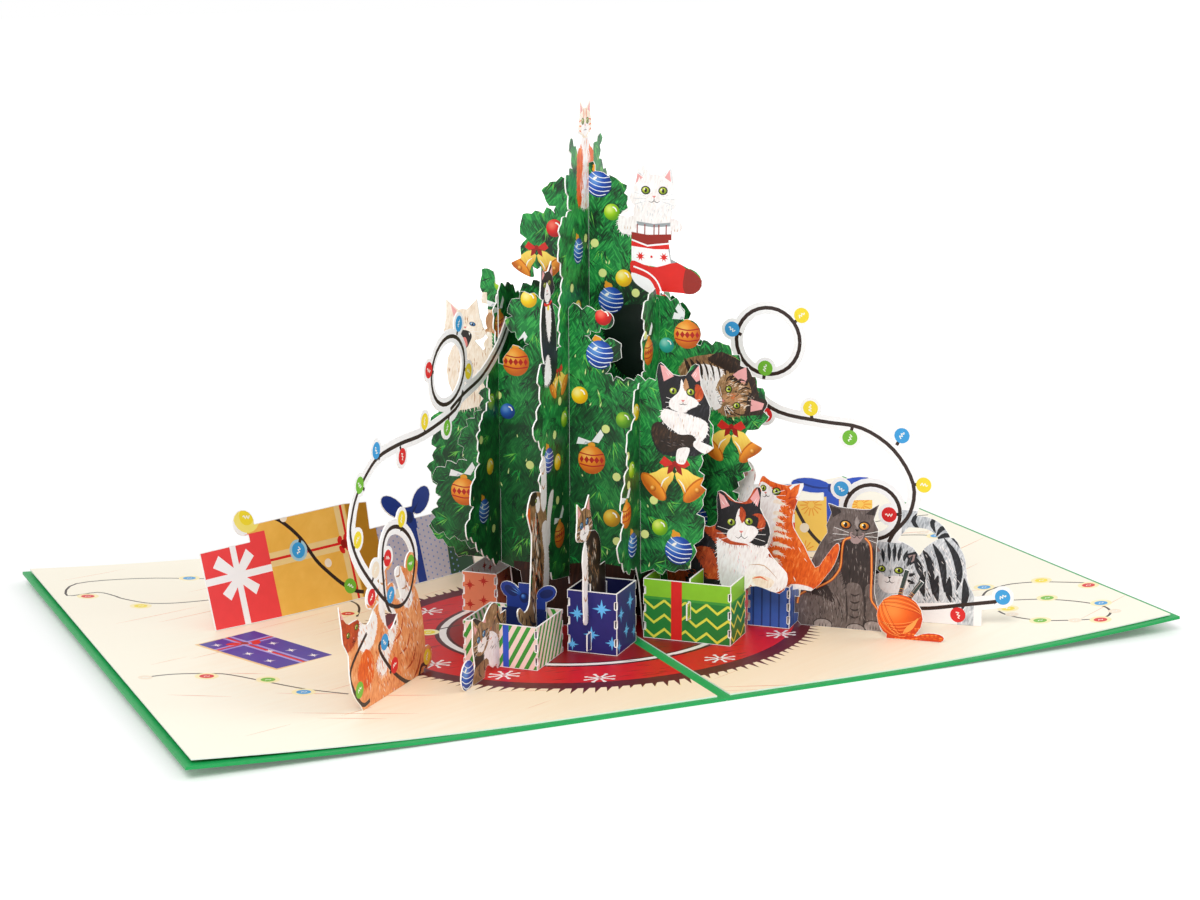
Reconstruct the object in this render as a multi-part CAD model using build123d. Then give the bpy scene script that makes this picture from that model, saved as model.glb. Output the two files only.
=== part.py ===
from build123d import *
from math import cos, hypot, pi, radians, sin, sqrt
import os

# Pop-up card, open flat on a table: a folded cover with two liners, a slotted paper tree
# on planes set at 45 degrees to the fold, open paper boxes round its foot, and die-cut
# figures, gift panels and light strings that fold away with it.
# Millimetres. X runs across both wings, Y from the front edge to the back, Z is up.
# The origin is under the middle of the card, on the table.

# Card
CARD_WIDTH = 305.0
CARD_DEPTH = 203.0
COVER_THICK = 0.8
LINER_THICK = 0.4
BORDER = 2.0           # cover left showing round each liner
SPINE_STRIP = 4.0      # cover left showing along the fold
SCORE_DEPTH = 0.25     # crease pressed into the cover's outside
SCORE_HALF = 0.5
FLAT_HALF = 40.0       # each wing lies flat this far from the fold
LEFT_LIFT = 3.2        # how far the cover's outer edges spring up
RIGHT_LIFT = 4.4
LEFT_PEEL = 1.0        # the left liner's outer edge stands off the cover
RIGHT_PEEL = 0.3

# Stock and fits
SHEET = 0.4            # card of every standing piece
SLOT_CLEAR = 0.12      # each side of a slot, and under every standing edge

# Lattice of the tree: u runs to the front right, v to the back right
TREE_CENTRE = 6.1      # u of the middle v-plane, and minus v of the middle u-plane
U_STEP = 22.5          # between the planes that run back
V_STEP_FRONT = 17.0    # between the planes that face the front left
V_STEP_BACK = 20.0

V_MID = -TREE_CENTRE
V_FRONT = V_MID - V_STEP_FRONT
V_BACK = V_MID + V_STEP_BACK
U_MID = TREE_CENTRE
U_LEFT = U_MID - U_STEP
U_RIGHT = U_MID + U_STEP
MEET_MID = 62.0        # height at which the slots of the middle planes meet
MEET_OUTER = 42.0      # and those of the outer planes
TALLER = 200.0         # more than any piece's height
LEAF_BUMP = 4.1        # length of one tuft of a foliage edge
LEAF_DEPTH = 1.1

# Fineness of the die's curves
ROUND_SIDES = 16       # straight sides of a small round
LOOP_SIDES = 26        # and of a cord's loop
CURVE_STEPS = 3        # straight steps between two points of a cord
FIGURE_STEPS = 2       # and between two points of a figure's outline

# Gift boxes, as (u from, u to, v from, v to, height)
STRIPED_BOX = (-9.0, 14.0, -68.5, -48.6, 14.2)
STAR_BOX = (15.0, 30.4, -47.6, -31.2, 20.0)
ZIGZAG_BOX = (31.2, 58.4, -27.2, -12.6, 19.6)
RIBBED_BOX = (56.4, 69.6, -4.4, 6.0, 14.4)
SNOWFLAKE_BOX = (-31.0, -19.4, -19.6, 4.0, 14.0)
GLUE_FLAP = 6.0
NICK_HEIGHT = 2.2      # cuts through each fold that let it turn sharply
NICK_REACH = 0.7
NICK_SHARES = (0.2, 0.48, 0.76)
THROUGH_TAB = 5.0      # height of a tab that pokes through a box's wall
TAB_STANDS = 2.4       # and how far it pokes
STAR_TAB_LOW = 2.6     # height at which each box's tab starts
ZIGZAG_TAB_LOW = 8.6
LATCH_LOW = 5.0

# Where the loose figures stand, as u or v of their plane
LYING_V = ZIGZAG_BOX[3] - SHEET - 1.2
REACHING_V = -1.4
SITTING_V = 1.6
STAR_KITTEN_U = 22.0
BAUBLE_KITTEN_U = 2.2
BRACE_U = 45.6
BOW_V = -50.2
YARN_V = -4.0

# Panels of gifts, left and mirrored right
PANEL_OUTER = (-112.5, 12.8)
PANEL_INNER = (-14.0, 52.2)
PANEL_LEAN = 16.0      # degrees, leaning back

# Light strings: bulbs on a cord, cut out with a white margin
NOTCH_LOW = 82.0       # window in the front plane that the left string passes through
NOTCH_HIGH = 92.0
CORD_BAND = 4.2
BULB_RADIUS = 3.4


def u_plane(v):
    """Upright plane of constant v: its x is u, its y is height."""
    return Plane(origin=(v / sqrt(2), v / sqrt(2), 0), x_dir=(1, -1, 0), z_dir=(-1, -1, 0))


def v_plane(u):
    """Upright plane of constant u: its x is v, its y is height."""
    return Plane(origin=(u / sqrt(2), -u / sqrt(2), 0), x_dir=(1, 1, 0), z_dir=(1, -1, 0))


LATTICE = Plane(origin=(0, 0, 0), x_dir=(1, -1, 0), z_dir=(0, 0, 1))


def export(shape, name):
    export_step(shape, f"parts/{name}.step")
    return shape


# The card itself

def wing_radius(lift):
    run = CARD_WIDTH / 2 - FLAT_HALF
    return (run * run + lift * lift) / (2 * lift)


def wing_section(low, high, inner, reach, lift):
    """Section of one layer of the right wing, between two heights above the table."""
    radius = wing_radius(lift)
    turn = (reach - FLAT_HALF) / radius

    def at(height, share):
        r = radius - height
        return (FLAT_HALF + r * sin(share * turn), radius - r * cos(share * turn))

    edges = [
        Line((inner, low), at(low, 0)),
        ThreePointArc(at(low, 0), at(low, 0.5), at(low, 1)),
        Line(at(low, 1), at(high, 1)),
        ThreePointArc(at(high, 1), at(high, 0.5), at(high, 0)),
        Line(at(high, 0), (inner, high)),
        Line((inner, high), (inner, low)),
    ]
    return make_face(Wire(edges))


def wing(low, high, inner, reach, lift, depth):
    """Layer of the right wing as a solid, centred front to back."""
    section = Plane.XZ * wing_section(low, high, inner, reach, lift)
    return extrude(section, depth / 2, both=True)


def flip(shape):
    return mirror(shape, Plane.YZ)


LINER_LOW = COVER_THICK
LINER_HIGH = COVER_THICK + LINER_THICK
LINER_REACH = CARD_WIDTH / 2 - BORDER
LINER_DEPTH = CARD_DEPTH - 2 * BORDER


def outer_cover():
    right = wing(0, COVER_THICK, 0, CARD_WIDTH / 2, RIGHT_LIFT, CARD_DEPTH)
    left = wing(0, COVER_THICK, 0, CARD_WIDTH / 2, LEFT_LIFT, CARD_DEPTH)
    crease = Polygon((-SCORE_HALF, 0), (SCORE_HALF, 0), (0, SCORE_DEPTH), align=None)
    score = extrude(Plane.XZ * crease, CARD_DEPTH, both=True)
    return right + flip(left) - score


def liner(lift):
    return wing(LINER_LOW, LINER_HIGH, SPINE_STRIP / 2, LINER_REACH, lift, LINER_DEPTH)


def floor_block():
    """All that lies below the liners' upper faces, and the clearance over them."""
    top = LINER_HIGH + SLOT_CLEAR
    deep = -20
    right = wing(deep, top, 0, CARD_WIDTH / 2 + BORDER, RIGHT_LIFT + RIGHT_PEEL, CARD_DEPTH)
    left = wing(deep, top, 0, CARD_WIDTH / 2 + BORDER, LEFT_LIFT + LEFT_PEEL, CARD_DEPTH)
    return right + flip(left)


FLOOR = floor_block()


# Sheets that stand

def poly(*points):
    return make_face(Polyline(*points, close=True))


def oval(a, b, sides=ROUND_SIDES):
    """Ellipse cut with short straight sides."""
    turns = [2 * pi * side / sides for side in range(sides)]
    return poly(*[(a * cos(turn), b * sin(turn)) for turn in turns])


def blob(x, y, a, b, tilt=0):
    return Pos(x, y) * Rot(0, 0, tilt) * oval(a, b)


def disc(x, y, r):
    return Pos(x, y) * oval(r, r)


def cord_loop(x, y, a, b, tilt=0):
    """Closed loop of the light cord's card, as wide as the cord's margin."""
    outer = oval(a, b, LOOP_SIDES)
    inner = oval(a - CORD_BAND + 0.2, b - CORD_BAND + 0.2, LOOP_SIDES)
    return Pos(x, y) * Rot(0, 0, tilt) * (outer - inner)


def bar(x0, x1, y0, y1):
    return poly((x0, y0), (x1, y0), (x1, y1), (x0, y1))


def sheet(outline, plane):
    """A flat piece of card standing on the liners."""
    return extrude(plane * outline, SHEET / 2, both=True) - FLOOR


def scallops(points, bump=LEAF_BUMP, depth=LEAF_DEPTH):
    """Points of a leafy edge: each stretch between two points swells into small tufts.
    The points run anticlockwise, so the tufts swell to the right of the way they run."""
    edge = []
    count = 0
    for (x0, y0), (x1, y1) in zip(points, points[1:]):
        length = hypot(x1 - x0, y1 - y0)
        lobes = max(1, round(length / bump))
        along = ((x1 - x0) / length, (y1 - y0) / length)
        out = (along[1], -along[0])
        for lobe in range(lobes):
            count += 1
            swell = depth * min(1, length / bump) * (1 + 0.4 * sin(2.4 * count))
            for share, rise in ((0.0, 0.0), (0.34, 0.85), (0.68, 1.2)):
                run = (lobe + share) * length / lobes
                edge.append((x0 + along[0] * run + out[0] * swell * rise,
                             y0 + along[1] * run + out[1] * swell * rise))
    edge.append(points[-1])
    return edge


def foliage(leafy, foot):
    """Leafy outline closed by the straight foot of the trunk."""
    return poly(*scallops(leafy), *foot)


def slot(x, low, high):
    half = SHEET / 2 + SLOT_CLEAR
    return bar(x - half, x + half, low, high)


def meet_height(v, u):
    return MEET_MID if (v == V_MID and u == U_MID) else MEET_OUTER


def front_slots(v):
    """Slots of a plane that faces the front. The middle v-plane drops in from above, and the
    outer two come up from below."""
    above = [slot(U_MID, meet_height(v, U_MID), TALLER)]
    below = [slot(u, -TALLER, meet_height(v, u)) for u in (U_LEFT, U_RIGHT)]
    return above + below


def back_slots(u):
    """Slots of a plane that runs back: they take the other half of each crossing."""
    if u == U_MID:
        return [slot(v, -TALLER, meet_height(v, u)) for v in (V_FRONT, V_MID, V_BACK)]
    return [slot(v, meet_height(v, u), TALLER) for v in (V_FRONT, V_MID, V_BACK)]


# Shapes that the figures share

def cat_head(x, y, r, tilt=0):
    skull = oval(r * 1.08, r * 0.92)
    ears = [poly((side * r * 0.98, r * 0.1), (side * r * 0.86, r * 1.42), (side * r * 0.18, r * 0.82))
            for side in (-1, 1)]
    cheeks = [blob(side * r * 0.72, -r * 0.3, r * 0.46, r * 0.42) for side in (-1, 1)]
    head = skull + ears + cheeks
    return Pos(x, y) * Rot(0, 0, tilt) * head


def smooth(points, steps=CURVE_STEPS):
    """Points along a smooth line through the given ones."""
    ends = [points[0], *points, points[-1]]
    line = []
    for a, b, c, d in zip(ends, ends[1:], ends[2:], ends[3:]):
        for step in range(steps):
            t = step / steps
            line.append(tuple(
                q + t * (r - p) / 2 + t * t * (2 * p - 5 * q + 4 * r - s) / 2
                + t ** 3 * (3 * q - p - 3 * r + s) / 2
                for p, q, r, s in zip(a, b, c, d)))
    return [*line, points[-1]]


def figure(*points):
    """Closed outline that runs smoothly through the points."""
    ring = smooth([points[-1], *points, points[0], points[1]], FIGURE_STEPS)
    return poly(*ring[FIGURE_STEPS:FIGURE_STEPS * (len(points) + 1)])


def band(points, width):
    """Curved strip of even width along a smooth line."""
    return trace(Polyline(*smooth(points)), width)


def tail(points, width):
    """Even tail with a round tip at the last point."""
    return band(points, width) + disc(*points[-1], width / 2)


def bell_pair(x, y, s):
    """Two bells hung from one bow."""
    bell = poly((-0.32 * s, 0.5 * s), (0.32 * s, 0.5 * s), (0.42 * s, 0.0), (0.78 * s, -0.5 * s),
                (-0.78 * s, -0.5 * s), (-0.42 * s, 0.0)) + blob(0, -0.52 * s, 0.78 * s, 0.2 * s)
    left = Pos(-0.62 * s, 0) * Rot(0, 0, -28) * bell
    right = Pos(0.62 * s, 0) * Rot(0, 0, 28) * bell
    bow = [blob(side * 0.3 * s, 0.85 * s, 0.42 * s, 0.2 * s, side * 30) for side in (-1, 1)]
    return Pos(x, y) * (left + right + bow)


# Foliage planes: leafy edge from the foot at the right, over the top, to the foot at the left

U_MID_LEAVES = [
    (33, 15.2), (46, 17), (54, 22), (55, 33), (52, 43), (57, 52), (52, 60), (61, 64), (62, 72),
    (49, 87.5), (38, 86), (35.5, 98), (29, 101), (24, 108), (20, 121), (16, 124.5), (18.5, 128),
    (17, 134), (11, 135), (6, 139.5), (0.4, 133.2), (-4, 133.7), (-6.8, 132.4), (-8, 129.4),
    (-4.2, 126.2), (-4.5, 124.2), (-12, 123.7), (-15.4, 121.8), (-13.8, 116), (-15.8, 112),
    (-12.4, 108.4), (-5.6, 107.2), (-5.6, 104), (-15.8, 100.8), (-15.9, 96.4), (-21.8, 97.6),
    (-26.6, 106.4), (-28.6, 104.6), (-28.6, 98.6), (-25, 92), (-29, 78), (-31, 66), (-41, 64),
    (-47, 57), (-45, 49),
    (-47, 41), (-43, 33), (-47, 22), (-36, 15.2),
]
U_MID_FOOT = [(-14, 15.2), (-11, 0), (33, 0)]

U_FRONT_LEAVES = [
    (33, 21.5), (41, 22), (44.6, 25), (45.6, 30), (48.6, 34.6), (46.4, 39.5), (48.3, 44), (47, 52.6),
    (47.8, 57.4), (51, 62.2), (50, 68), (46, 76), (40, 79), (34, 78.4), (26.9, 78.2), (20.4, 77.6),
    (18, 79.6), (19.4, 83), (22.8, 87.2), (22, 89.4), (13.4, 89.2), (11.6, 90.6), (13.2, 92.2),
    (20.2, 95.2), (19, 96.8),
    (15, 98.2), (6.5, 98.6), (0, 98), (-2.6, 100.8), (-6, 102.2), (-12.4, 99), (-11.6, 95.2),
    (-13.4, 92), (-8, 89), (-6.4, 87), (-8, 85.2), (-12.8, 84.6), (-14.6, 80.4), (-20, 76.6), (-22, 66),
    (-29, 58), (-27, 50), (-38, 46), (-36, 38), (-39, 28), (-28, 25), (-17, 19.5),
]
U_FRONT_FOOT = [(-10, 17), (-7, 0), (25, 0), (27, 19)]

U_BACK_LEAVES = [
    (31, 19), (40, 17), (49, 24), (46, 36), (50, 47), (44, 56), (46, 66), (38, 72), (40, 80),
    (30, 86), (31, 94), (21, 98), (18, 110), (10, 114), (6, 121), (0, 113), (-7, 110), (-9, 99),
    (-19, 95), (-18, 86), (-29, 80), (-27, 70), (-37, 64), (-35, 54), (-43, 46), (-40, 35),
    (-44, 25), (-34, 17), (-22, 19),
]
U_BACK_FOOT = [(-12, 17), (-8, 0), (20, 0), (22, 17)]

V_MID_LEAVES = [
    (22, 19), (34, 17), (40, 25), (37, 36), (41, 46), (35, 55), (37, 65), (30, 73), (31, 82),
    (23, 90), (24, 99), (16, 106), (17, 116), (9, 124), (10, 133), (3, 140), (4.5, 147.5),
    (-2, 143), (-15, 143), (-20.5, 148), (-19, 139), (-24.5, 136), (-20, 127), (-28, 124),
    (-30, 117), (-27, 108), (-30, 96), (-29, 88), (-46, 84), (-45, 74), (-51, 66), (-43, 61),
    (-46, 50), (-40, 38), (-43, 28), (-36, 19),
]
V_MID_FOOT = [(-24, 17), (-20, 0), (10, 0), (12, 17)]

V_RIGHT_LEAVES = [
    (12, 19), (24, 17), (30, 26), (27, 37), (30, 48), (23, 57), (24, 67), (16, 75), (15, 86),
    (6, 92), (2, 101), (-6, 98), (-12, 103), (-20, 99), (-18.5, 92), (-21, 87), (-18, 80),
    (-28, 74), (-27, 68), (-34, 62), (-33, 54), (-39, 46), (-37, 38), (-42, 30), (-35, 23.6),
    (-27, 22.8),
]
V_RIGHT_FOOT = [(-24, 17), (-20, 0), (4, 0), (6, 17)]

V_LEFT_LEAVES = [
    (16, 19), (27, 17), (33, 26), (29, 36), (32, 46), (25, 55), (26, 66), (17, 73), (18, 83),
    (9, 90), (2, 100), (-6, 97), (-13, 103), (-22, 103), (-26, 95), (-24, 86), (-31, 78),
    (-29, 70), (-36, 66), (-39, 60), (-38, 53), (-45, 46), (-43, 41), (-49, 35), (-42, 30),
    (-34, 24), (-25, 20),
]
V_LEFT_FOOT = [(-16, 17), (-12, 0), (8, 0), (10, 17)]


def tree_u_centre():
    tree = foliage(U_MID_LEAVES, U_MID_FOOT)
    baubles = [disc(9.6, 133.2, 4.0), disc(-23.5, 90.0, 4.2), disc(37.6, 90.0, 4.3)]
    bells = [bell_pair(-10.5, 109, 5.4), bell_pair(51.5, 57.5, 6.2)]
    shape = tree + baubles + bells + stocking() + branch_cat() + cream_cat()
    return sheet(shape - front_slots(V_MID), u_plane(V_MID))


def tree_u_front():
    tree = foliage(U_FRONT_LEAVES, U_FRONT_FOOT)
    baubles = [disc(41.5, 27.5, 4.2), disc(-29.0, 40.0, 4.0), disc(18.0, 95.6, 2.7)]
    shape = tree + baubles + perched_cat()
    cuts = front_slots(V_FRONT) + [string_notch()]
    return sheet(shape - cuts, u_plane(V_FRONT))


def tree_u_back():
    tree = foliage(U_BACK_LEAVES, U_BACK_FOOT)
    return sheet(tree - front_slots(V_BACK), u_plane(V_BACK))


def tree_v_centre():
    tree = foliage(V_MID_LEAVES, V_MID_FOOT)
    shape = tree + topper_cat() + climbing_cat() + stretching_cat()
    return sheet(shape - back_slots(U_MID), v_plane(U_MID))


def tree_v_left():
    tree = foliage(V_LEFT_LEAVES, V_LEFT_FOOT)
    return sheet(tree - back_slots(U_LEFT), v_plane(U_LEFT))


def tree_v_right():
    tree = foliage(V_RIGHT_LEAVES, V_RIGHT_FOOT)
    return sheet(tree - back_slots(U_RIGHT), v_plane(U_RIGHT))


# Figures cut out with the tree

def stocking():
    """Christmas stocking with a kitten looking out of it."""
    cuff = bar(19.6, 32.6, 117.5, 123.0)
    leg = poly((20.2, 118), (31.6, 118), (32.4, 112), (40.2, 108.4), (42.0, 104.2), (39.4, 101.8),
               (28, 102.2), (22.4, 106.5))
    toe = blob(37.6, 105.6, 4.6, 3.9, -15)
    paws = [blob(20.4, 122.6, 2.6, 1.9, 20), blob(33.4, 122.0, 2.6, 1.9, -20)]
    return cuff + leg + toe + paws + blob(26.6, 125.5, 6.2, 5.5) + cat_head(27.0, 131.2, 6.3, -6)


def branch_cat():
    """Tabby lying along a branch, its head tipped down at the right."""
    return figure((35.5, 77), (37, 81), (42, 81.5), (47, 82), (48.5, 83.5), (53, 82), (54.5, 80.5),
                  (56.5, 81), (58.4, 77), (60, 72.5), (62.5, 70.5), (61.5, 68.5), (59, 67), (51.5, 66.5),
                  (46, 68.5), (40.5, 70.5))


def cream_cat():
    body = blob(-34.0, 74.0, 7.0, 10.5)
    paws = [blob(-38.0, 65.0, 2.6, 2.0), blob(-32.5, 64.6, 2.6, 2.0)]
    return body + paws + cat_head(-35.0, 88.0, 6.0, 4)


def perched_cat():
    return figure((34.5, 83.6), (36, 83.6), (39, 80.8), (43, 80.8), (44.6, 83.6), (47, 84), (47.6, 78),
                  (50.4, 72), (50, 68), (49.4, 63.5), (50.2, 58.6), (47, 57), (45, 55.5), (41, 55.5),
                  (40.4, 58.8), (34.5, 60.5), (32.5, 65.5), (34, 72), (33.6, 78))


def topper_cat():
    body = blob(-8.5, 137.5, 5.6, 11.0)
    return body + cat_head(-8.5, 151.8, 4.7)


def climbing_cat():
    body = blob(-38.5, 93.0, 5.8, 12.5, 8)
    return body + cat_head(-39.5, 107.5, 4.6, 4)


def stretching_cat():
    """Long tabby that stands in the striped box, astride its back wall, and reaches up."""
    back_wall = STRIPED_BOX[3]
    shape = figure((-50, 49), (-53.4, 48.6), (-56.2, 43.5), (-53, 37), (-53.4, 29.5), (-54.4, 22),
                   (-55.4, 16.6), (-59, 15.2), (-62, 17.4), (-64.2, 16.8), (-62.6, 13.4), (-57, 10.2),
                   (-51, 9), (-45, 9.4), (-41.4, 14), (-39, 26), (-38, 41), (-44, 47))
    return shape - over_wall(back_wall - SHEET, back_wall, STRIPED_BOX[4])


# Figures of their own

def over_wall(side_a, side_b, height):
    """Slot that lets a figure straddle the top of a box's wall."""
    return bar(side_a - SLOT_CLEAR, side_b + SLOT_CLEAR, 0, height + SLOT_CLEAR)


def lying_cat():
    """Cat lying along the edge of the zigzag box, with its hind part inside."""
    shape = figure((50, 44.6), (52.2, 44.5), (55.5, 42), (59, 42.5), (61, 46), (62.4, 47), (63.6, 46),
                   (63.2, 40.5), (65.5, 36.5), (66.4, 33), (65.4, 28.4), (69, 24), (71.5, 21.4),
                   (71.6, 18), (69.4, 15), (64, 16.4), (60.6, 16.4), (57.6, 13), (56.4, 0), (42, 0),
                   (35, 12), (34.4, 23.5), (36.5, 30.6), (40, 34.4), (47.5, 33.6), (50, 35.6), (49.8, 40))
    wall = over_wall(ZIGZAG_BOX[1] - SHEET, ZIGZAG_BOX[1], ZIGZAG_BOX[4])
    return sheet(shape - wall, u_plane(LYING_V))


def reaching_cat():
    """Kitten that stands in the ribbed box, astride its side, and reaches up for a bell."""
    shape = figure((53.4, 51.6), (56, 51.2), (57.6, 48.6), (57.6, 46), (56.6, 43), (58, 42.5),
                   (59.3, 46.4), (60.4, 47.4), (62.4, 46), (67.5, 45), (72.5, 46), (71.8, 43),
                   (69.5, 36), (69.8, 32), (73, 27), (76.6, 20.5), (79, 23), (82, 27.4), (83.6, 28.6),
                   (84, 26.6), (82.6, 22), (80, 18), (75.5, 13), (68, 12.6), (67.4, 0), (60.6, 0),
                   (58.4, 18.5), (56.5, 30.5), (53, 39), (51, 41), (50.6, 43.2), (53, 45.4), (52, 48.5))
    wall = over_wall(RIBBED_BOX[1] - SHEET, RIBBED_BOX[1], RIBBED_BOX[4])
    return sheet(shape - wall, u_plane(REACHING_V))


def sitting_cat():
    """Grey cat that sits beside the ribbed box."""
    shape = figure((79.5, 39.8), (82.5, 39), (87.5, 38.8), (92.5, 39), (95.2, 40.8), (93.6, 36), (95, 33),
                   (94.6, 28), (94.4, 21), (94.2, 13.5), (95.6, 8), (96, 3), (95, 0), (73, 0),
                   (70.8, 5.5), (71, 10), (72.6, 17), (77, 27), (79.4, 30.8), (79, 33), (80.5, 37))
    latch = bar(RIBBED_BOX[1] - TAB_STANDS, 76.0, LATCH_LOW, LATCH_LOW + THROUGH_TAB)
    return sheet(shape + latch, u_plane(SITTING_V))


def star_box_kitten():
    """Kitten that looks over the front of the star box, with its tab through the front."""
    outer = STAR_BOX[2]
    inner = outer + SHEET
    inside = bar(inner + SLOT_CLEAR, inner + 12.0, 0, 26.0)
    body = blob(-46.0, 30.0, 7.4, 8.0)
    paw = band([(-51.0, 30), (-51.4, 20), (-50.8, 13)], 3.2) + disc(-50.8, 12.6, 1.8)
    through = bar(outer - TAB_STANDS, inner + 1, STAR_TAB_LOW, STAR_TAB_LOW + THROUGH_TAB)
    head = cat_head(-52.0, 41.0, 5.4, 5)
    shape = inside + body + head - over_wall(outer, inner, STAR_BOX[4]) + paw + through
    return sheet(shape, v_plane(STAR_KITTEN_U))


def bauble_kitten():
    """Kitten that climbs out over the striped box and pats a bauble on the floor."""
    outer = STRIPED_BOX[2]
    inner = outer + SHEET
    inside = bar(inner, inner + 4.6, 3.0, 17.0)
    kitten = figure((-87.2, 20.6), (-84, 20), (-80, 18), (-78, 19.5), (-75.5, 21), (-72.5, 21.5),
                    (-69.4, 20), (-67.6, 16.5), (-66.8, 11), (-66.8, 5), (-67.4, 0), (-69.4, 0),
                    (-70.6, 3), (-73.5, 2.6), (-77, 4.6), (-79.2, 3), (-80.4, 0), (-87.4, 0),
                    (-87.4, 4), (-86, 7), (-87.4, 12.5), (-87, 17))
    bauble = disc(-91.2, 1.3 + 4.2, 4.4)
    shape = inside + kitten + bauble - over_wall(outer, inner, STRIPED_BOX[4])
    return sheet(shape, v_plane(BAUBLE_KITTEN_U))


def box_brace():
    """Inner rib of the zigzag box, with its tab through the front."""
    outer = ZIGZAG_BOX[2]
    inner = outer + SHEET
    rib = bar(inner + SLOT_CLEAR, LYING_V - SHEET / 2 - SLOT_CLEAR, 0, ZIGZAG_BOX[4] + 1.0)
    through = bar(outer - TAB_STANDS, inner + 1, ZIGZAG_TAB_LOW, ZIGZAG_TAB_LOW + THROUGH_TAB)
    return sheet(rib + through, v_plane(BRACE_U))


def box_bow():
    """Ribbon bow that stands in the striped box, slotted for the cat that stands there."""
    loops = [blob(-1.6, 18.8, 3.6, 2.4, -32), blob(9.6, 18.8, 3.4, 2.3, 32)]
    knot = bar(0.8, 4.4, 10, 21.4)
    foot = bar(-4.6, 9.6, 0, 13.6)
    shape = foot + loops + knot + bar(-3.0, 9.4, 13, 17)
    return sheet(shape - slot(U_MID, 7.4, TALLER), u_plane(BOW_V))


def yarn_ball():
    """Ball of yarn with two needles, and the loose end on the floor."""
    ball = disc(103.4, 1.3 + 7.2, 7.0)
    needles = [band([(102.6, 12), (105.4, 23)], 1.5), band([(104.5, 12), (109.8, 20.0)], 1.5)]
    loose = blob(112.4, 2.6, 4.6, 1.8, 8)
    foot = bar(99.5, 108.0, 0, 4.0)
    return sheet(ball + needles + loose + foot + bar(104, 112, 0, 3.2), u_plane(YARN_V))


# Light strings

def bulb(x, y):
    return disc(x, y, BULB_RADIUS)


def string_notch():
    """Room in the front plane for the string that lies against the left plane."""
    return bar(U_LEFT - SHEET / 2 - SLOT_CLEAR, U_LEFT + 1.5 * SHEET + SLOT_CLEAR, NOTCH_LOW, NOTCH_HIGH)


def left_light_string():
    loop = cord_loop(-60.5, 85.2, 13.6, 11.6, 12)
    to_tree = band([(-59.5, 73.6), (-50, 76.4), (-36, 79.4), (-23, 86), (-15.9, 92.5)], CORD_BAND)
    down = band([(-50.4, 77.5), (-56, 73.0), (-61, 71.8), (-77.2, 70.3), (-93.5, 70.6), (-106.7, 69.8),
                 (-114.8, 66.3), (-121, 61.4), (-124, 52), (-120.3, 44), (-112.8, 36.2),
                 (-105.9, 30), (-100, 26.2)], CORD_BAND)
    small = band([(-100, 26.2), (-93.9, 25.1), (-88.8, 27.5), (-86, 32.9), (-85.8, 38.4), (-89.2, 43.7),
                  (-95.3, 47.6), (-101.3, 48.3), (-105, 45.4), (-106, 39.8), (-104.7, 29.6)], CORD_BAND)
    spots = [(-52.6, 97.4), (-73.6, 87.6), (-46.4, 82.4), (-62, 68.8), (-77, 73.6), (-92, 66.8),
             (-108, 71.8), (-118.4, 64.6), (-120.5, 50.1), (-102.7, 40.6), (-88.2, 35.5),
             (-93.3, 49.4), (-110.2, 39.2), (-113.1, 32.3), (-101.3, 29.8), (-78.6, 5.4)]
    shape = loop + to_tree + down + small + [bulb(*spot) for spot in spots] + playing_kitten()
    return sheet(shape, v_plane(U_LEFT + SHEET))


def playing_kitten():
    """Kitten that stands on its hind legs, tangled in the left string."""
    return figure((-132.6, 34.8), (-130, 30.5), (-127, 28.5), (-122, 28.5), (-117.5, 25.5), (-114.5, 26),
                  (-112, 28.5), (-109, 29.5), (-106, 29), (-104.5, 22), (-101.5, 20), (-98, 22.5),
                  (-94.5, 27), (-98, 34.5), (-97, 36.5), (-93.5, 36), (-88.5, 32.5), (-85.5, 28),
                  (-82.5, 22.5), (-80.5, 15), (-79.5, 7), (-81, 2), (-84, -1), (-114, -1),
                  (-121, 4), (-125.6, 9), (-127.4, 15), (-127.6, 20), (-130.6, 24), (-131.2, 28))


def right_light_string():
    loop = cord_loop(56.4, 85.4, 12.0, 12.2)
    root = band([(32.0, 78.6), (39.0, 76.4), (47.0, 77.6)], CORD_BAND + 1.4)
    run = band([(46.5, 77.2), (51.0, 70.0), (60.0, 63.8), (74.0, 61.8), (86.0, 60.6), (96.0, 54.6),
                (102.2, 44.6), (101.4, 35.6), (96.8, 29.4), (95.0, 26.0)], CORD_BAND)
    small = cord_loop(89.8, 35.0, 10.6, 10.4)
    floor_run = band([(98.0, 6.0), (108.0, 6.6), (118.0, 8.6), (129.0, 10.8)], CORD_BAND)
    backing = poly((101, 0), (124, 0), (124, 9.5), (101, 6.5))
    spots = [(66.8, 93.8), (45.0, 88.4), (55.6, 77.0), (55.6, 62.6), (70.0, 65.6), (82.4, 57.4),
             (98.4, 59.2), (105.4, 44.6), (80.0, 41.4), (95.0, 34.6), (116.8, 5.4), (130.2, 12.2)]
    shape = loop + root + run + small + floor_run + backing + [bulb(*spot) for spot in spots]
    return sheet(shape + arched_cat(), u_plane(V_BACK + SHEET))


def arched_cat():
    """Silver tabby that crouches under the end of the right string."""
    body = figure((88, 23), (89, 25), (94, 26.5), (97, 27), (102.5, 25), (104.5, 22.6), (106, 25),
                  (110.5, 28.5), (115, 29), (117, 26), (118.6, 22.5), (119.6, 15.5), (122.4, 10),
                  (121.6, 5), (121.4, 0), (92.6, 0), (91.6, 8), (89, 12), (87.6, 18))
    return body + tail([(113.6, 26.0), (110.5, 31), (106.5, 33), (100.6, 33)], 3.6)


# Gift boxes

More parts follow.
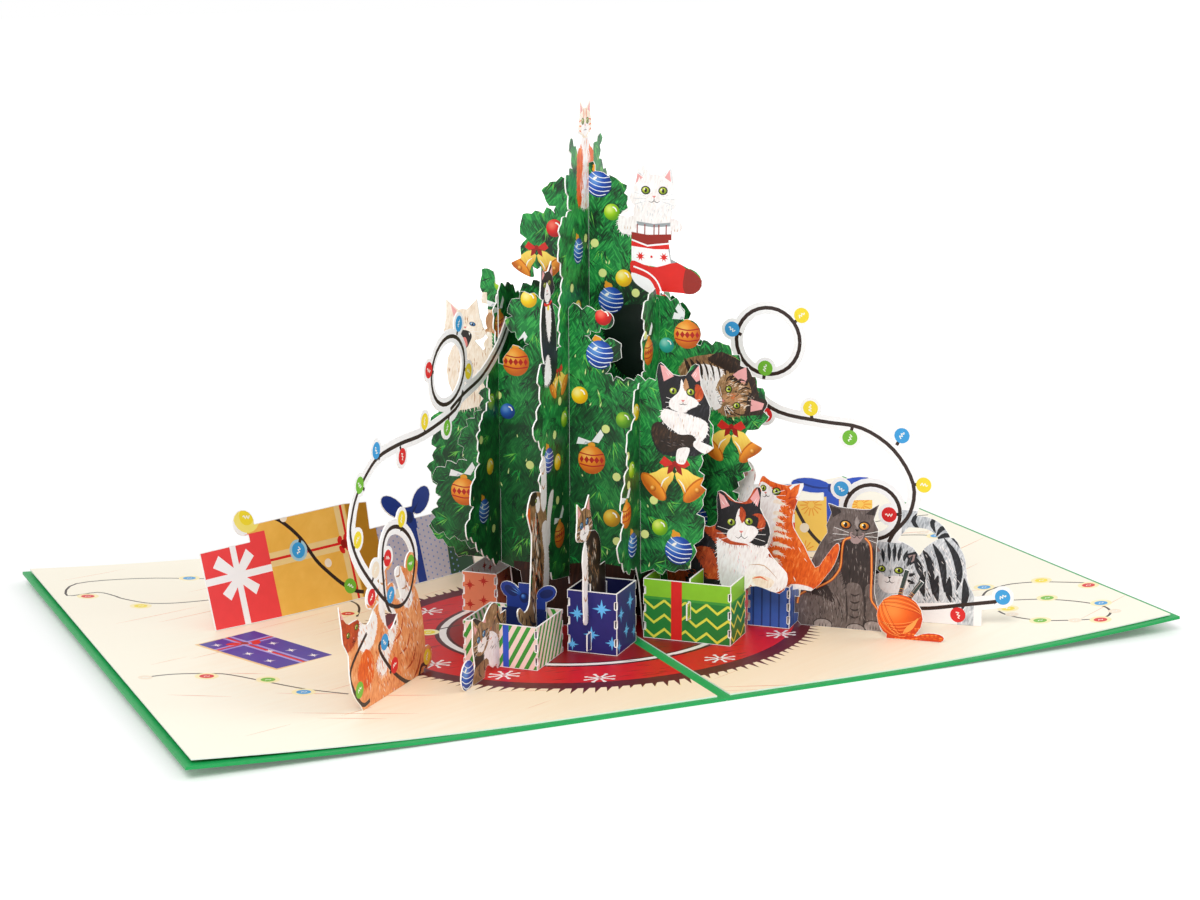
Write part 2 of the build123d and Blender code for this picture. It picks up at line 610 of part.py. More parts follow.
def box_walls(size, inset):
    u0, u1, v0, v1, height = size
    outline = Pos((u0 + u1) / 2, (v0 + v1) / 2) * Rectangle(u1 - u0 - 2 * inset, v1 - v0 - 2 * inset)
    return extrude(LATTICE * outline, height)


def lattice_block(u0, u1, v0, v1, z0, z1):
    outline = Pos((u0 + u1) / 2, (v0 + v1) / 2) * Rectangle(u1 - u0, v1 - v0)
    return extrude(LATTICE.offset(z0) * outline, z1 - z0)


def gift_box(size):
    """Open paper box: one strip folded round, glued on a flap and nicked along its folds."""
    u0, u1, v0, v1, height = size
    walls = box_walls(size, 0) - box_walls(size, SHEET)
    flap = lattice_block(u0 + SHEET, u0 + SHEET + GLUE_FLAP, v1 - 2 * SHEET, v1 - SHEET, 0, height - 1.0)
    nicks = []
    for u in (u0, u1):
        for v in (v0, v1):
            for share in NICK_SHARES:
                low = share * height
                nicks.append(lattice_block(u - NICK_REACH, u + NICK_REACH, v - NICK_REACH, v + NICK_REACH,
                                           low, low + NICK_HEIGHT))
    return walls + flap - nicks - FLOOR


def wall_slot(plane_u, wall_v, low, high):
    """Slot through a wall that faces the front, for the tab of a plane that runs back."""
    half = SHEET / 2 + SLOT_CLEAR
    return lattice_block(plane_u - half, plane_u + half, wall_v - 1, wall_v + 1,
                         low - SLOT_CLEAR, high + SLOT_CLEAR)


def star_box():
    cut = wall_slot(STAR_KITTEN_U, STAR_BOX[2], STAR_TAB_LOW, STAR_TAB_LOW + THROUGH_TAB)
    return gift_box(STAR_BOX) - cut


def zigzag_box():
    cut = wall_slot(BRACE_U, ZIGZAG_BOX[2], ZIGZAG_TAB_LOW, ZIGZAG_TAB_LOW + THROUGH_TAB)
    return gift_box(ZIGZAG_BOX) - cut


def ribbed_box():
    half = SHEET / 2 + SLOT_CLEAR
    side = RIBBED_BOX[1]
    cut = lattice_block(side - 1, side + 1, SITTING_V - half, SITTING_V + half,
                        LATCH_LOW - SLOT_CLEAR, LATCH_LOW + THROUGH_TAB + SLOT_CLEAR)
    return gift_box(RIBBED_BOX) - cut


# Gift panels behind the tree

def panel_plane():
    """Leaning plane of the left panel: its x runs inwards along the foot, its y up the panel."""
    dx, dy = PANEL_INNER[0] - PANEL_OUTER[0], PANEL_INNER[1] - PANEL_OUTER[1]
    length = hypot(dx, dy)
    along = (dx / length, dy / length)
    lean = radians(PANEL_LEAN)
    front = Vector(along[1] * cos(lean), -along[0] * cos(lean), sin(lean))
    return Plane(origin=(*PANEL_OUTER, LINER_HIGH), x_dir=(along[0], along[1], 0), z_dir=front)


def left_gift_panel():
    red = bar(0, 25.4, -2, 25.6)
    bulb_end = disc(18.0, 31.6, BULB_RADIUS + 0.6)
    gold = bar(18.8, 57.2, -2, 30.6) + poly((57.2, -2), (63.4, -2), (66.4, 29.6), (57.2, 30.6))
    dotted = bar(60.0, 99.4, -2, 21.0)
    bow = [blob(76.6, 26.0, 5.4, 3.0, -40), blob(88.6, 26.2, 5.4, 3.2, 44), bar(80.6, 84.6, 18, 25)]
    dark = bar(99.0, 106.0, -2, 19.6)
    shape = red + bulb_end + gold + dotted + bow + dark
    return sheet(shape, panel_plane())


def right_gift_panel():
    starry = bar(-1.0, 25.4, -2, 18.4)
    bow = [blob(19.6, 23.4, 7.0, 2.6, 8), blob(5.4, 23.6, 7.0, 2.4, -8), bar(9.6, 15.6, 16, 24)]
    tall = bar(25.0, 52.0, -2, 24.0)
    low = bar(51.6, 84.0, -2, 17.0)
    shape = starry + bow + tall + low
    flat = extrude(panel_plane() * shape, SHEET / 2, both=True)
    return flip(flat) - FLOOR


# Writing the pieces

os.makedirs("parts", exist_ok=True)
export(outer_cover(), "outer_cover")
export(flip(liner(LEFT_LIFT + LEFT_PEEL)), "left_liner")
export(liner(RIGHT_LIFT + RIGHT_PEEL), "right_liner")
export(tree_u_centre(), "tree_u_centre")
export(tree_u_front(), "tree_u_front")
export(tree_u_back(), "tree_u_back")
export(tree_v_centre(), "tree_v_centre")
export(tree_v_left(), "tree_v_left")
export(tree_v_right(), "tree_v_right")
export(lying_cat(), "lying_cat")
export(reaching_cat(), "reaching_cat")
export(sitting_cat(), "sitting_cat")
export(star_box_kitten(), "star_box_kitten")
export(bauble_kitten(), "bauble_kitten")
export(box_brace(), "zigzag_box_brace")
export(box_bow(), "striped_box_bow")
export(yarn_ball(), "yarn_ball")
export(left_light_string(), "left_light_string")
export(right_light_string(), "right_light_string")
export(gift_box(STRIPED_BOX), "striped_box")
export(star_box(), "star_box")
export(zigzag_box(), "zigzag_box")
export(ribbed_box(), "ribbed_box")
export(gift_box(SNOWFLAKE_BOX), "snowflake_box")
export(left_gift_panel(), "left_gift_panel")
export(right_gift_panel(), "right_gift_panel")
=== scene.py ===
from math import atan2, cos, degrees, hypot, pi, radians, sin, sqrt
from random import Random

import bmesh
import bpy
from mathutils import Matrix, Vector
from mathutils.geometry import delaunay_2d_cdt


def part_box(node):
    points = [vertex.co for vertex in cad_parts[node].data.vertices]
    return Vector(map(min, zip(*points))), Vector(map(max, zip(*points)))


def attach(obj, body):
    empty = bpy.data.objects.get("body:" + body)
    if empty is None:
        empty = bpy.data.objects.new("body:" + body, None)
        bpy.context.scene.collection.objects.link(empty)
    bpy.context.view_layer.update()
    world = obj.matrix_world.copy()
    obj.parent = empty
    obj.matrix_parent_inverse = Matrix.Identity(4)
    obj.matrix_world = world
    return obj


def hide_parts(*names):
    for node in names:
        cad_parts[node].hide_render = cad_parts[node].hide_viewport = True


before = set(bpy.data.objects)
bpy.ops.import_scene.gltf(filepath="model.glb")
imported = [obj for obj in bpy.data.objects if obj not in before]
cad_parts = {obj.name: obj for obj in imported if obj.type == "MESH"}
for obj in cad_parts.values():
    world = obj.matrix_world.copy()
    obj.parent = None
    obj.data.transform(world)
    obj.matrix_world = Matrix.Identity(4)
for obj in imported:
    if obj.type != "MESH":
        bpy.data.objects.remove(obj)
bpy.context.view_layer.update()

# Printed pop-up card. Every standing sheet is cut once along its own outline and along
# everything printed on it, so that each colour of the print is a face of the card.
# Sizes are in millimetres until a mesh is made.
MM = 0.001
SHEET = 0.4            # card of the standing pieces
WALL_ROOT = sqrt(2)
MARGIN = 0.06          # white left by the die round each outline

# Planes of the tree: u runs to the front right, v to the back right
V_MID, V_FRONT, V_BACK = -6.1, -23.1, 13.9
U_MID, U_LEFT, U_RIGHT = 6.1, -16.4, 28.6

# Gift boxes, as (u from, u to, v from, v to, height)
STRIPED_BOX = (-9.0, 14.0, -68.5, -48.6, 14.2)
STAR_BOX = (15.0, 30.4, -47.6, -31.2, 20.0)
ZIGZAG_BOX = (31.2, 58.4, -27.2, -12.6, 19.6)
RIBBED_BOX = (56.4, 69.6, -4.4, 6.0, 14.4)
SNOWFLAKE_BOX = (-31.0, -19.4, -19.6, 4.0, 14.0)

# The folded card
LINER_LOW, LINER_HIGH = 0.8, 1.2
FLAT_HALF = 40.0
CARD_HALF = 152.5
LEFT_LIFT, RIGHT_LIFT = 4.2, 4.7

chance = Random(7)


# Shader maths

class Tone:
    """A value that changes over the surface. Sums on it add Math nodes."""

    def __init__(self, finish, socket):
        self.finish = finish
        self.socket = socket

    def sum(self, operation, *values):
        return self.finish.node("ShaderNodeMath", {"operation": operation}, dict(enumerate(values)))

    def __add__(self, other):
        return self.sum("ADD", self, other)

    __radd__ = __add__

    def __sub__(self, other):
        return self.sum("SUBTRACT", self, other)

    def __rsub__(self, other):
        return self.sum("SUBTRACT", other, self)

    def __mul__(self, other):
        return self.sum("MULTIPLY", self, other)

    __rmul__ = __mul__


class Finish:
    """One finish of the card, as a material of shader nodes."""

    def __init__(self, name, roughness=0.5):
        self.material = bpy.data.materials.new(name)
        self.material.use_nodes = True
        self.tree = self.material.node_tree
        self.shader = self.tree.nodes["Principled BSDF"]
        self.shader.inputs["Roughness"].default_value = roughness
        self.shader.inputs["Specular IOR Level"].default_value = 0.35

    def node(self, kind, settings=(), values=(), output=0):
        made = self.tree.nodes.new(kind)
        for name, value in dict(settings).items():
            setattr(made, name, value)
        for name, value in dict(values).items():
            self.feed(made.inputs[name], value)
        return Tone(self, made.outputs[output])

    def feed(self, socket, value):
        if isinstance(value, Tone):
            self.tree.links.new(value.socket, socket)
        else:
            socket.default_value = value

    def paint(self, name, value):
        self.feed(self.shader.inputs[name], value)

    def mix(self, share, first, second):
        return self.node("ShaderNodeMix", {"data_type": "RGBA"}, {0: share, 6: first, 7: second}, 2)

    def sheet_place(self, layer="sheet"):
        return self.node("ShaderNodeUVMap", {"uv_map": layer})

    def turned(self, place, angle, stretch):
        """A place turned by an angle in degrees, then stretched by x and y."""
        spun = self.node("ShaderNodeVectorRotate", {"rotation_type": "Z_AXIS"},
            {"Vector": place, "Angle": radians(angle)})
        return self.node("ShaderNodeVectorMath", {"operation": "MULTIPLY"}, {0: spun, 1: (*stretch, 1)})

    def cloud(self, place, scale, detail=2.0, warp=0.0):
        return self.node("ShaderNodeTexNoise", {}, {"Vector": place, "Scale": scale, "Detail": detail,
            "Distortion": warp})

    def step(self, value, low, high):
        return self.node("ShaderNodeMapRange", {"interpolation_type": "SMOOTHSTEP"},
            {0: value, 1: low, 2: high})

    def grain(self, place, strength=0.12):
        """Fine tooth of coated card, as bump."""
        tooth = self.cloud(place, 5.0, 3.0)
        bump = self.node("ShaderNodeBump", {}, {"Strength": strength, "Distance": 0.00005, "Height": tooth})
        self.paint("Normal", bump)
        return tooth


def tint(code, gain=1.0):
    """Colour written as in a paint chart, in the renderer's linear values."""
    parts = [int(code[i:i + 2], 16) / 255 for i in (0, 2, 4)]
    return (*[min(1.0, gain * (c / 12.92 if c < 0.04 else ((c + 0.055) / 1.055) ** 2.4)) for c in parts], 1)


def flat_ink(name, code, spread=0.14, roughness=0.42):
    """One ink laid on the card, a little uneven."""
    ink = Finish(name, roughness)
    place = ink.sheet_place()
    tooth = ink.grain(place)
    uneven = ink.cloud(place, 0.35, 3.0) * 0.7 + tooth * 0.3
    ink.paint("Base Color", ink.mix(uneven, tint(code, 1 - spread), tint(code, 1 + spread)))
    ink.paint("Roughness", uneven * 0.14 + (roughness - 0.07))
    return ink.material


def streaked_ink(name, dark, middle, light, angle, length=2.2, width=0.6, soft=0.15):
    """Brush work of three tones, with strokes along one direction."""
    ink = Finish(name, 0.44)
    place = ink.sheet_place()
    ink.grain(place)
    along = ink.turned(place, -angle, (1 / length, 1 / width))
    strokes = ink.cloud(along, 1.0, 4.0, 0.7)
    patches = ink.cloud(place, 0.2, 2.0)
    deep = ink.step(strokes * 0.7 + patches * 0.3, 0.43 - soft, 0.43 + soft)
    glow = ink.step(strokes * 0.6 + patches * 0.4, 0.53, 0.56 + soft)
    ink.paint("Base Color", ink.mix(glow, ink.mix(deep, tint(dark), tint(middle)), tint(light)))
    ink.paint("Roughness", strokes * 0.16 + 0.36)
    return ink.material


def round_ink(name, dark, middle, light):
    """Shading of a printed ball: light above left, dark round its lower edge."""
    ink = Finish(name, 0.38)
    ink.grain(ink.sheet_place())
    spot = ink.sheet_place("shape")
    lit_from = ink.node("ShaderNodeVectorMath", {"operation": "DISTANCE"}, {0: spot, 1: (-0.32, 0.34, 0)}, 1)
    shade = ink.step(lit_from, 0.5, 1.35)
    glow = ink.step(lit_from, 0.75, 0.05)
    uneven = ink.cloud(ink.sheet_place(), 0.9, 2.0)
    body = ink.mix(shade, ink.mix(uneven, tint(middle, 0.9), tint(middle, 1.1)), tint(dark))
    ink.paint("Base Color", ink.mix(glow * 0.85, body, tint(light)))
    return ink.material


def graded_ink(name, low, high, angle=90, streaks=0.0):
    """Two tones that run into each other across a printed shape."""
    ink = Finish(name, 0.4)
    place = ink.sheet_place()
    ink.grain(place)
    spot = ink.turned(ink.sheet_place("shape"), 90 - angle, (1, 1))
    height = ink.node("ShaderNodeSeparateXYZ", {}, {0: spot}, 1)
    lines = ink.cloud(ink.turned(place, 70, (0.25, 1.6)), 1.0, 2.0)
    share = ink.step(height + (lines - 0.5) * streaks, -1.0, 1.0)
    ink.paint("Base Color", ink.mix(share, tint(low), tint(high)))
    ink.paint("Roughness", lines * 0.1 + 0.35)
    return ink.material


def needle_ink():
    """Fir green: near-black hollows, deep green, and brushed brighter needles, with painted shade towards the
    tree's middle.
    """
    ink = Finish("fir_green_print", 0.4)
    place = ink.sheet_place()
    ink.grain(place)
    hollows = ink.cloud(place, 0.075, 3.0, 0.6)
    down = ink.cloud(ink.turned(place, 62, (0.3, 1.7)), 1.0, 3.0, 0.9)
    across = ink.cloud(ink.turned(place, -50, (0.3, 1.7)), 1.0, 3.0, 0.9)
    side = ink.step(ink.cloud(place, 0.11, 1.0), 0.47, 0.53)
    strokes = down * side + across * (1 - side)
    deep = ink.step(hollows * 0.6 + strokes * 0.4, 0.39, 0.53)
    bright = ink.step(strokes * 0.75 + hollows * 0.25, 0.5, 0.62)
    green = ink.mix(deep, tint("04240f"), tint("117a36"))
    brushed = ink.mix(bright * deep * 0.8, green, tint("3fb552"))
    # Painted shade: round (-6, 32), the tree's middle where its sheets cross, the green darkens to a shaded
    # mix
    inner = ink.node("ShaderNodeVectorMath", {"operation": "DISTANCE"}, {0: place, 1: (-6, 32, 0)}, 1)
    shade = ink.step(inner + (hollows - 0.5) * 60, 62, 16)
    ink.paint("Base Color", ink.mix(shade * 0.8, brushed, ink.mix(strokes, tint("03180b"), tint("0f5c2b"))))
    ink.paint("Roughness", strokes * 0.14 + 0.34)
    return ink.material


def board_ink():
    """Pale boards of the printed floor, with painted shade: tan towards the middle of the card, paler
    outwards.
    """
    ink = Finish("board_print", 0.5)
    place = ink.sheet_place()
    ink.grain(place)
    grain = ink.cloud(ink.turned(place, -24, (0.03, 0.5)), 1.0, 3.0)
    outward = ink.node("ShaderNodeVectorMath", {"operation": "DISTANCE"}, {0: place, 1: (-8, -24, 0)}, 1)
    # Painted shade: the boards run from tan round (-8, -24), under the tree and rug, to pale further out
    pale = ink.step(outward + (grain - 0.5) * 30, 60, 135)
    ink.paint("Base Color", ink.mix(pale, tint("fbe4c4"), tint("fff8e6")))
    ink.paint("Roughness", grain * 0.14 + 0.42)
    return ink.material


def core_ink():
    """Bare white core of the card where the die went through."""
    ink = Finish("white_core", 0.7)
    place = ink.node("ShaderNodeTexCoord", {}, {}, 3)
    fibres = ink.cloud(place, 900.0, 3.0)
    ink.paint("Base Color", ink.mix(fibres, tint("f2f0ec"), tint("fdfcfa")))
    ink.paint("Roughness", fibres * 0.2 + 0.6)
    return ink.material


def cover_card():
    """Green coated cover card."""
    ink = Finish("green_cover_card", 0.45)
    place = ink.node("ShaderNodeTexCoord", {}, {}, 3)
    fibres = ink.cloud(place, 700.0, 4.0)
    cloudy = ink.cloud(place, 30.0, 2.0)
    bump = ink.node("ShaderNodeBump", {}, {"Strength": 0.2, "Distance": 0.00006, "Height": fibres})
    ink.paint("Normal", bump)
    ink.paint("Base Color", ink.mix(fibres * 0.5 + cloudy * 0.5, tint("148f49"), tint("1fae5b")))
    ink.paint("Roughness", fibres * 0.2 + 0.36)
    return ink.material


# Inks by key, a coat's by its colour alone. Each row starts with the material's name. A flat ink then
# has a colour and how uneven it is, the others have three tones from dark to light.
FLAT_INKS = {
    "needle dark": ("needle_dark_green", "07301a"),
    "needle mid": ("needle_mid_green", "1f9a43"),
    "needle light": ("needle_yellow_green", "6cc24c"),
    "needle pale": ("needle_pale", "d8e79a"),
    "ball line": ("white_ball_line", "e8f1fb", 0.05),
    "ball band": ("red_ball_band", "b32017"),
    "cap gold": ("ball_cap_gold", "e29a25"),
    "glow dot": ("pale_light_dot", "dbe58e", 0.06),
    "glint": ("white_glint", "fbfaf0", 0.03),
    "ribbon white": ("white_ribbon", "eef0f0", 0.06),
    "ribbon shade": ("ribbon_shade_grey", "bfc5c9", 0.08),
    "bell lip": ("bell_lip", "c6670f"),
    "red bow": ("red_bow_ink", "d12a22", 0.2),
    "red bow dark": ("red_bow_fold", "9c1914", 0.2),
    "ear pink": ("ear_pink", "eaa7a6", 0.2),
    "nose pink": ("nose_pink", "dd8079", 0.1),
    "fine dark": ("fine_dark_line", "1a1413", 0.2),
    "whisker": ("whisker_white", "f7f5f2", 0.03),
    "cord brown": ("printed_cord_brown", "33241f", 0.2),
    "bulb blue": ("bulb_blue", "3d9fdc", 0.08),
    "bulb red": ("bulb_red", "dd2a2c", 0.08),
    "bulb green": ("bulb_green", "74bb37", 0.08),
    "bulb yellow": ("bulb_yellow", "f5dd33", 0.06),
    "bulb white": ("bulb_cream_white", "f6e6cf", 0.05),
    "card white": ("white_print", "fcfbfb", 0.02),
    "cord margin": ("cord_margin_white", "f8f6f6", 0.02),
    "stocking red": ("stocking_red", "dc241d", 0.14),
    "stocking dark": ("stocking_dark_red", "94261c", 0.16),
    "stocking grey": ("stocking_shade_grey", "9aa0a3", 0.1),
    "box violet": ("star_box_violet", "24246f", 0.16),
    "box navy": ("box_inside_navy", "0e123f", 0.2),
    "star blue": ("star_light_blue", "62bdf6", 0.08),
    "box green": ("zigzag_box_green", "238035", 0.14),
    "zigzag yellow": ("zigzag_yellow", "dfe24c", 0.08),
    "lid lime": ("lid_lime", "86c62b", 0.12),
    "ribbon red": ("ribbon_red", "da241f", 0.12),
    "box blue": ("ribbed_box_blue", "3a66be", 0.16),
    "rib navy": ("rib_navy", "22407f", 0.12),
    "salmon": ("snowflake_box_salmon", "e2845f", 0.1),
    "flake red": ("flake_red", "b92a1f", 0.12),
    "stripe pale": ("striped_box_pale", "f3dcd0", 0.06),
    "stripe green": ("stripe_dark_green", "3f9a3a", 0.12),
    "bow navy": ("bow_navy", "1c3687", 0.22),
    "bow navy dark": ("bow_navy_fold", "122259", 0.2),
    "yarn line": ("yarn_strand", "ffa14c", 0.1),
    "yarn dark": ("yarn_shadow_strand", "bb3a08", 0.1),
    "needle steel": ("knitting_needle", "2f3a35", 0.2),
    "rug heart": ("rug_dark_red", "8f1217", 0.22),
    "rug ring": ("rug_ring_shadow", "4a1016", 0.2),
    "rug red": ("rug_red", "cf161d", 0.24),
    "rug fringe": ("rug_fringe_maroon", "5c1420", 0.2),
    "rug tips": ("rug_tip_yellow", "f2d79a", 0.1),
    "snow white": ("snowflake_white", "f4ebe8", 0.05),
    "plank line": ("plank_line", "e6946c", 0.2),
    "plank faint": ("plank_faint_line", "efb48c", 0.2),
    "gift violet": ("flat_gift_violet", "43379a", 0.14),
    "gift lilac": ("flat_gift_lilac", "a99ad6", 0.1),
    "gift cream": ("flat_gift_edge", "f0c98a", 0.1),
    "panel red": ("panel_gift_red", "f24648", 0.07),
    "panel brown": ("panel_gift_side", "b8801f", 0.12),
    "ribbon cream": ("cream_ribbon", "f0d08e", 0.06),
    "panel grey": ("dotted_gift_grey", "c3bbc6", 0.06),
    "dot blue": ("dotted_gift_dot", "7c92c4", 0.08),
    "panel dark green": ("dark_green_gift", "1c4a2a", 0.14),
    "panel pink": ("pinkish_ribbon", "cbb6b2", 0.08),
    "panel yellow": ("starburst_gift_yellow", "ffcc5c", 0.06),
    "burst orange": ("starburst_orange", "f29a33", 0.06),
    "bulb halo": ("warm_bulb_halo", "fdedb8", 0.03),
    "glow yellow": ("yellow_bulb_glow", "fbe877", 0.05),
    "glow blue": ("blue_bulb_glow", "a9cdd8", 0.05),
    # Painted shade: near-black green printed where the tree's inside lies in shadow
    "hollow": ("deep_hollow_green", "04160c", 0.3),
    "muzzle grey": ("muzzle_pinkish_grey", "a58c8a", 0.16),
    "bow blue": ("bow_blue", "2f55c4", 0.16),
}
STREAKED_INKS = {
    # Trunk browns darkened to near black: partly the trunk's own brown, partly painted shade at the tree's
    # foot
    "trunk": ("trunk_brown", "160a05", "2a130a", "432213", 84, 6.0, 0.8),
    "black": ("black_fur", "0b0a0c", "17151a", "3b3a42", 70),
    "white": ("white_fur", "e9dfdc", "fbf7f5", "ffffff", 75),
    "cream": ("cream_fur", "e6cfb4", "f8ead8", "fffaf1", 80),
    "tan": ("tan_fur", "9c6c46", "c8966a", "e6c39b", 80),
    "ginger": ("ginger_fur", "c8410d", "ea661c", "f79c50", 75),
    "ginger dark": ("ginger_stripe_fur", "a8300c", "cf4a15", "ea7a35", 75),
    "tabby": ("tabby_fur", "5a3d28", "a07a52", "d9b98e", 75),
    "tabby dark": ("tabby_stripe_fur", "150f0b", "2f2017", "60442f", 75),
    "grey": ("grey_fur", "4a403e", "6c5f5b", "8f827f", 80),
    "grey dark": ("grey_shade_fur", "1f1a1a", "352b2a", "4c413f", 80),
    "silver": ("silver_fur", "8d949c", "d2d6da", "fbfcfd", 70),
    "silver dark": ("silver_stripe_fur", "121417", "26292e", "555b62", 70),
    "rust": ("rust_fur", "8a2c10", "c24a1e", "e27c42", 70),
    "panel gold": ("panel_gift_gold", "e8ac42", "f6be56", "fdca68", 30, 16.0, 9.0, 0.3),
    "grey light": ("grey_light_fur", "7a6e6b", "9c908c", "beb4b0", 80),
    "apricot": ("apricot_fur", "d06a2c", "f0a065", "fcd0a2", 70),
}
ROUND_INKS = {
    "blue glass": ("blue_glass_ball", "0c2a78", "1f50b2", "6aa4e4"),
    "orange glass": ("orange_glass_ball", "c05a10", "ec8a1f", "fbc45c"),
    "lime glass": ("lime_glass_ball", "5f9e0f", "9fce1c", "e4f27c"),
    "yellow glass": ("yellow_glass_ball", "d9a405", "f6d416", "fff59a"),
    "red glass": ("red_glass_ball", "a90f12", "e0231f", "f97a63"),
    "teal glass": ("teal_glass_ball", "1b8f86", "35b3a3", "9fe0d2"),
    "plain blue glass": ("plain_blue_ball", "10337c", "235cb3", "6b9fe0"),
    "dim glass": ("dim_green_ball", "3e7d10", "6fae1c", "b5d943"),
    "gold glass": ("gold_ball", "a9790b", "d6a51b", "f0d35a"),
    "clapper": ("bell_clapper", "a2520a", "d98520", "ffd072"),
    "iris green": ("iris_yellow_green", "6f8a1d", "bcca3c", "ecf08a"),
    "iris amber": ("iris_amber", "b0560a", "f0a229", "ffdf7a"),
    "iris blue": ("iris_blue", "2a5f96", "5a9bd0", "bfe0f4"),
    "yarn": ("yarn_orange", "cf3d08", "f06414", "ff9440"),
}
INKS = {
    "core": core_ink(),
    "fir": needle_ink(),
    "boards": board_ink(),
    "bell": graded_ink("bell_yellow", "d98a12", "ffe066", 100, 0.9),
    "bell mouth": graded_ink("bell_mouth_orange", "b5560b", "f29a2c", 80, 0.5),
}
for ink_of, kind in ((flat_ink, FLAT_INKS), (streaked_ink, STREAKED_INKS), (round_ink, ROUND_INKS)):
    INKS.update({key: ink_of(*values) for key, values in kind.items()})


# Shapes of a print

def pairs(*numbers):
    """Points from a row of x and y in turn."""
    return list(zip(numbers[::2], numbers[1::2]))


def smooth(points, steps=4, closed=False):
    """Points along a smooth line through the given ones."""
    ends = [points[-1], *points, points[0], points[1]] if closed else [points[0], *points, points[-1]]
    line = []
    for a, b, c, d in zip(ends, ends[1:], ends[2:], ends[3:]):
        for step in range(steps):
            t = step / steps
            line.append(tuple(
                q + t * (r - p) / 2 + t * t * (2 * p - 5 * q + 4 * r - s) / 2
                + t ** 3 * (3 * q - p - 3 * r + s) / 2
                for p, q, r, s in zip(a, b, c, d)))
    return line if closed else [*line, points[-1]]


def area_of(points):
    return sum(a[0] * b[1] - b[0] * a[1] for a, b in zip(points, [*points[1:], points[0]])) / 2


def inside(x, y, points):
    """Whether a place lies inside an outline."""
    within = False
    for (x0, y0), (x1, y1) in zip(points, [*points[1:], points[0]]):
        if (y0 > y) != (y1 > y) and x < x0 + (y - y0) / (y1 - y0) * (x1 - x0):
            within = not within
    return within


class Print:
    """What is printed on one sheet, in millimetres of its plane, the lowest layer first."""

    def __init__(self):
        self.layers = []

    def shape(self, points, ink, side="both", place=None):
        if place is None:
            xs, ys = [p[0] for p in points], [p[1] for p in points]
            place = ((min(xs) + max(xs)) / 2, (min(ys) + max(ys)) / 2, 0, max(0.1, (max(xs) - min(xs)) / 2),
                max(0.1, (max(ys) - min(ys)) / 2))
        if area_of(points) < 0:
            points = points[::-1]
        self.layers.append((points, ink, side, place))

    def oval(self, x, y, a, b, ink, tilt=0, sides=16, side="both"):
        c, s = cos(radians(tilt)), sin(radians(tilt))
        turns = [2 * pi * k / sides for k in range(sides)]
        ring = [(a * cos(t), b * sin(t)) for t in turns]
        points = [(x + c * p - s * q, y + s * p + c * q) for p, q in ring]
        self.shape(points, ink, side, (x, y, radians(tilt), a, b))

    def line(self, points, width, ink, steps=4, taper=False, side="both"):
        """A smooth line of even width, or one that thins to its ends."""
        line = smooth(points, steps) if len(points) > 2 else list(points)
        left, right = [], []
        last = len(line) - 1
        for k, (x, y) in enumerate(line):
            before, after = line[max(0, k - 1)], line[min(last, k + 1)]
            length = hypot(after[0] - before[0], after[1] - before[1]) or 1
            out = ((after[1] - before[1]) / length, (before[0] - after[0]) / length)
            half = width / 2 * (max(0.12, sin(pi * k / last)) if taper else 1)
            left.append((x - out[0] * half, y - out[1] * half))
            right.append((x + out[0] * half, y + out[1] * half))
        for k in range(last):
            self.shape([left[k], left[k + 1], right[k + 1], right[k]], ink, side)

    def ring(self, x, y, a, b, width, ink, tilt=0, start=0, end=360, side="both"):
        """A line round an ellipse, or round a part of it."""
        c, s = cos(radians(tilt)), sin(radians(tilt))
        count = max(4, round((end - start) / 14))
        turns = [radians(start + (end - start) * k / count) for k in range(count + 1)]
        line = [(a * cos(t), b * sin(t)) for t in turns]
        self.line([(x + c * p - s * q, y + s * p + c * q) for p, q in line], width, ink, 1, side=side)

    def stroke(self, x, y, angle, length, width, ink, side="both"):
        """One dab of a brush."""
        c, s = cos(radians(angle)), sin(radians(angle))
        dab = [(0, 0), (0.35 * length, -width / 2), (length, 0), (0.35 * length, width / 2)]
        self.shape([(x + c * p - s * q, y + s * p + c * q) for p, q in dab], ink, side)

    def rows(self, left, right, low, high, ink, side="both"):
        self.shape([(left, low), (right, low), (right, high), (left, high)], ink, side)

    def patch(self, ink, *numbers):
        """A smooth closed shape, from the x and y of the points round it."""
        self.shape(smooth(pairs(*numbers), 3, True), ink)

    def corners(self, ink, *numbers):
        """A shape with straight sides, from the x and y of its corners."""
        self.shape(pairs(*numbers), ink)

    def draw(self, width, ink, *numbers):
        """A drawn line that thins to its ends, from the x and y of its points."""
        self.line(pairs(*numbers), width, ink, 3, True)

    def draws(self, width, ink, *lines):
        """Several drawn lines, each a row of x and y in turn."""
        for numbers in lines:
            self.draw(width, ink, *numbers)

    def coat(self, ink, *numbers, hair=1.3, flow=(0, -1), width=0.26):
        """A patch of a coat, with hair brushed over its edge along a flow."""
        outline = smooth(pairs(*numbers), 3, True)
        if area_of(outline) < 0:
            outline = outline[::-1]
        self.shape(outline, ink)
        for (x0, y0), (x1, y1) in zip(outline, [*outline[1:], outline[0]]):
            length = hypot(x1 - x0, y1 - y0) or 1
            out = ((y1 - y0) / length, (x0 - x1) / length)
            for k in range(max(1, round(length / 0.8))):
                share = (k + chance.random()) / max(1, round(length / 0.8))
                x, y = x0 + (x1 - x0) * share - 0.25 * out[0], y0 + (y1 - y0) * share - 0.25 * out[1]
                angle = degrees(atan2(out[1] + flow[1], out[0] + flow[0])) + chance.uniform(-14, 14)
                self.stroke(x, y, angle, chance.uniform(0.6, 1.2) * hair, width, ink)

    def flipped(self):
        """The same print seen in a mirror."""
        other = Print()
        for points, ink, side, (x, y, tilt, a, b) in self.layers:
            other.shape([(-p, q) for p, q in points], ink, side, (-x, y, -tilt, a, b))
        return other


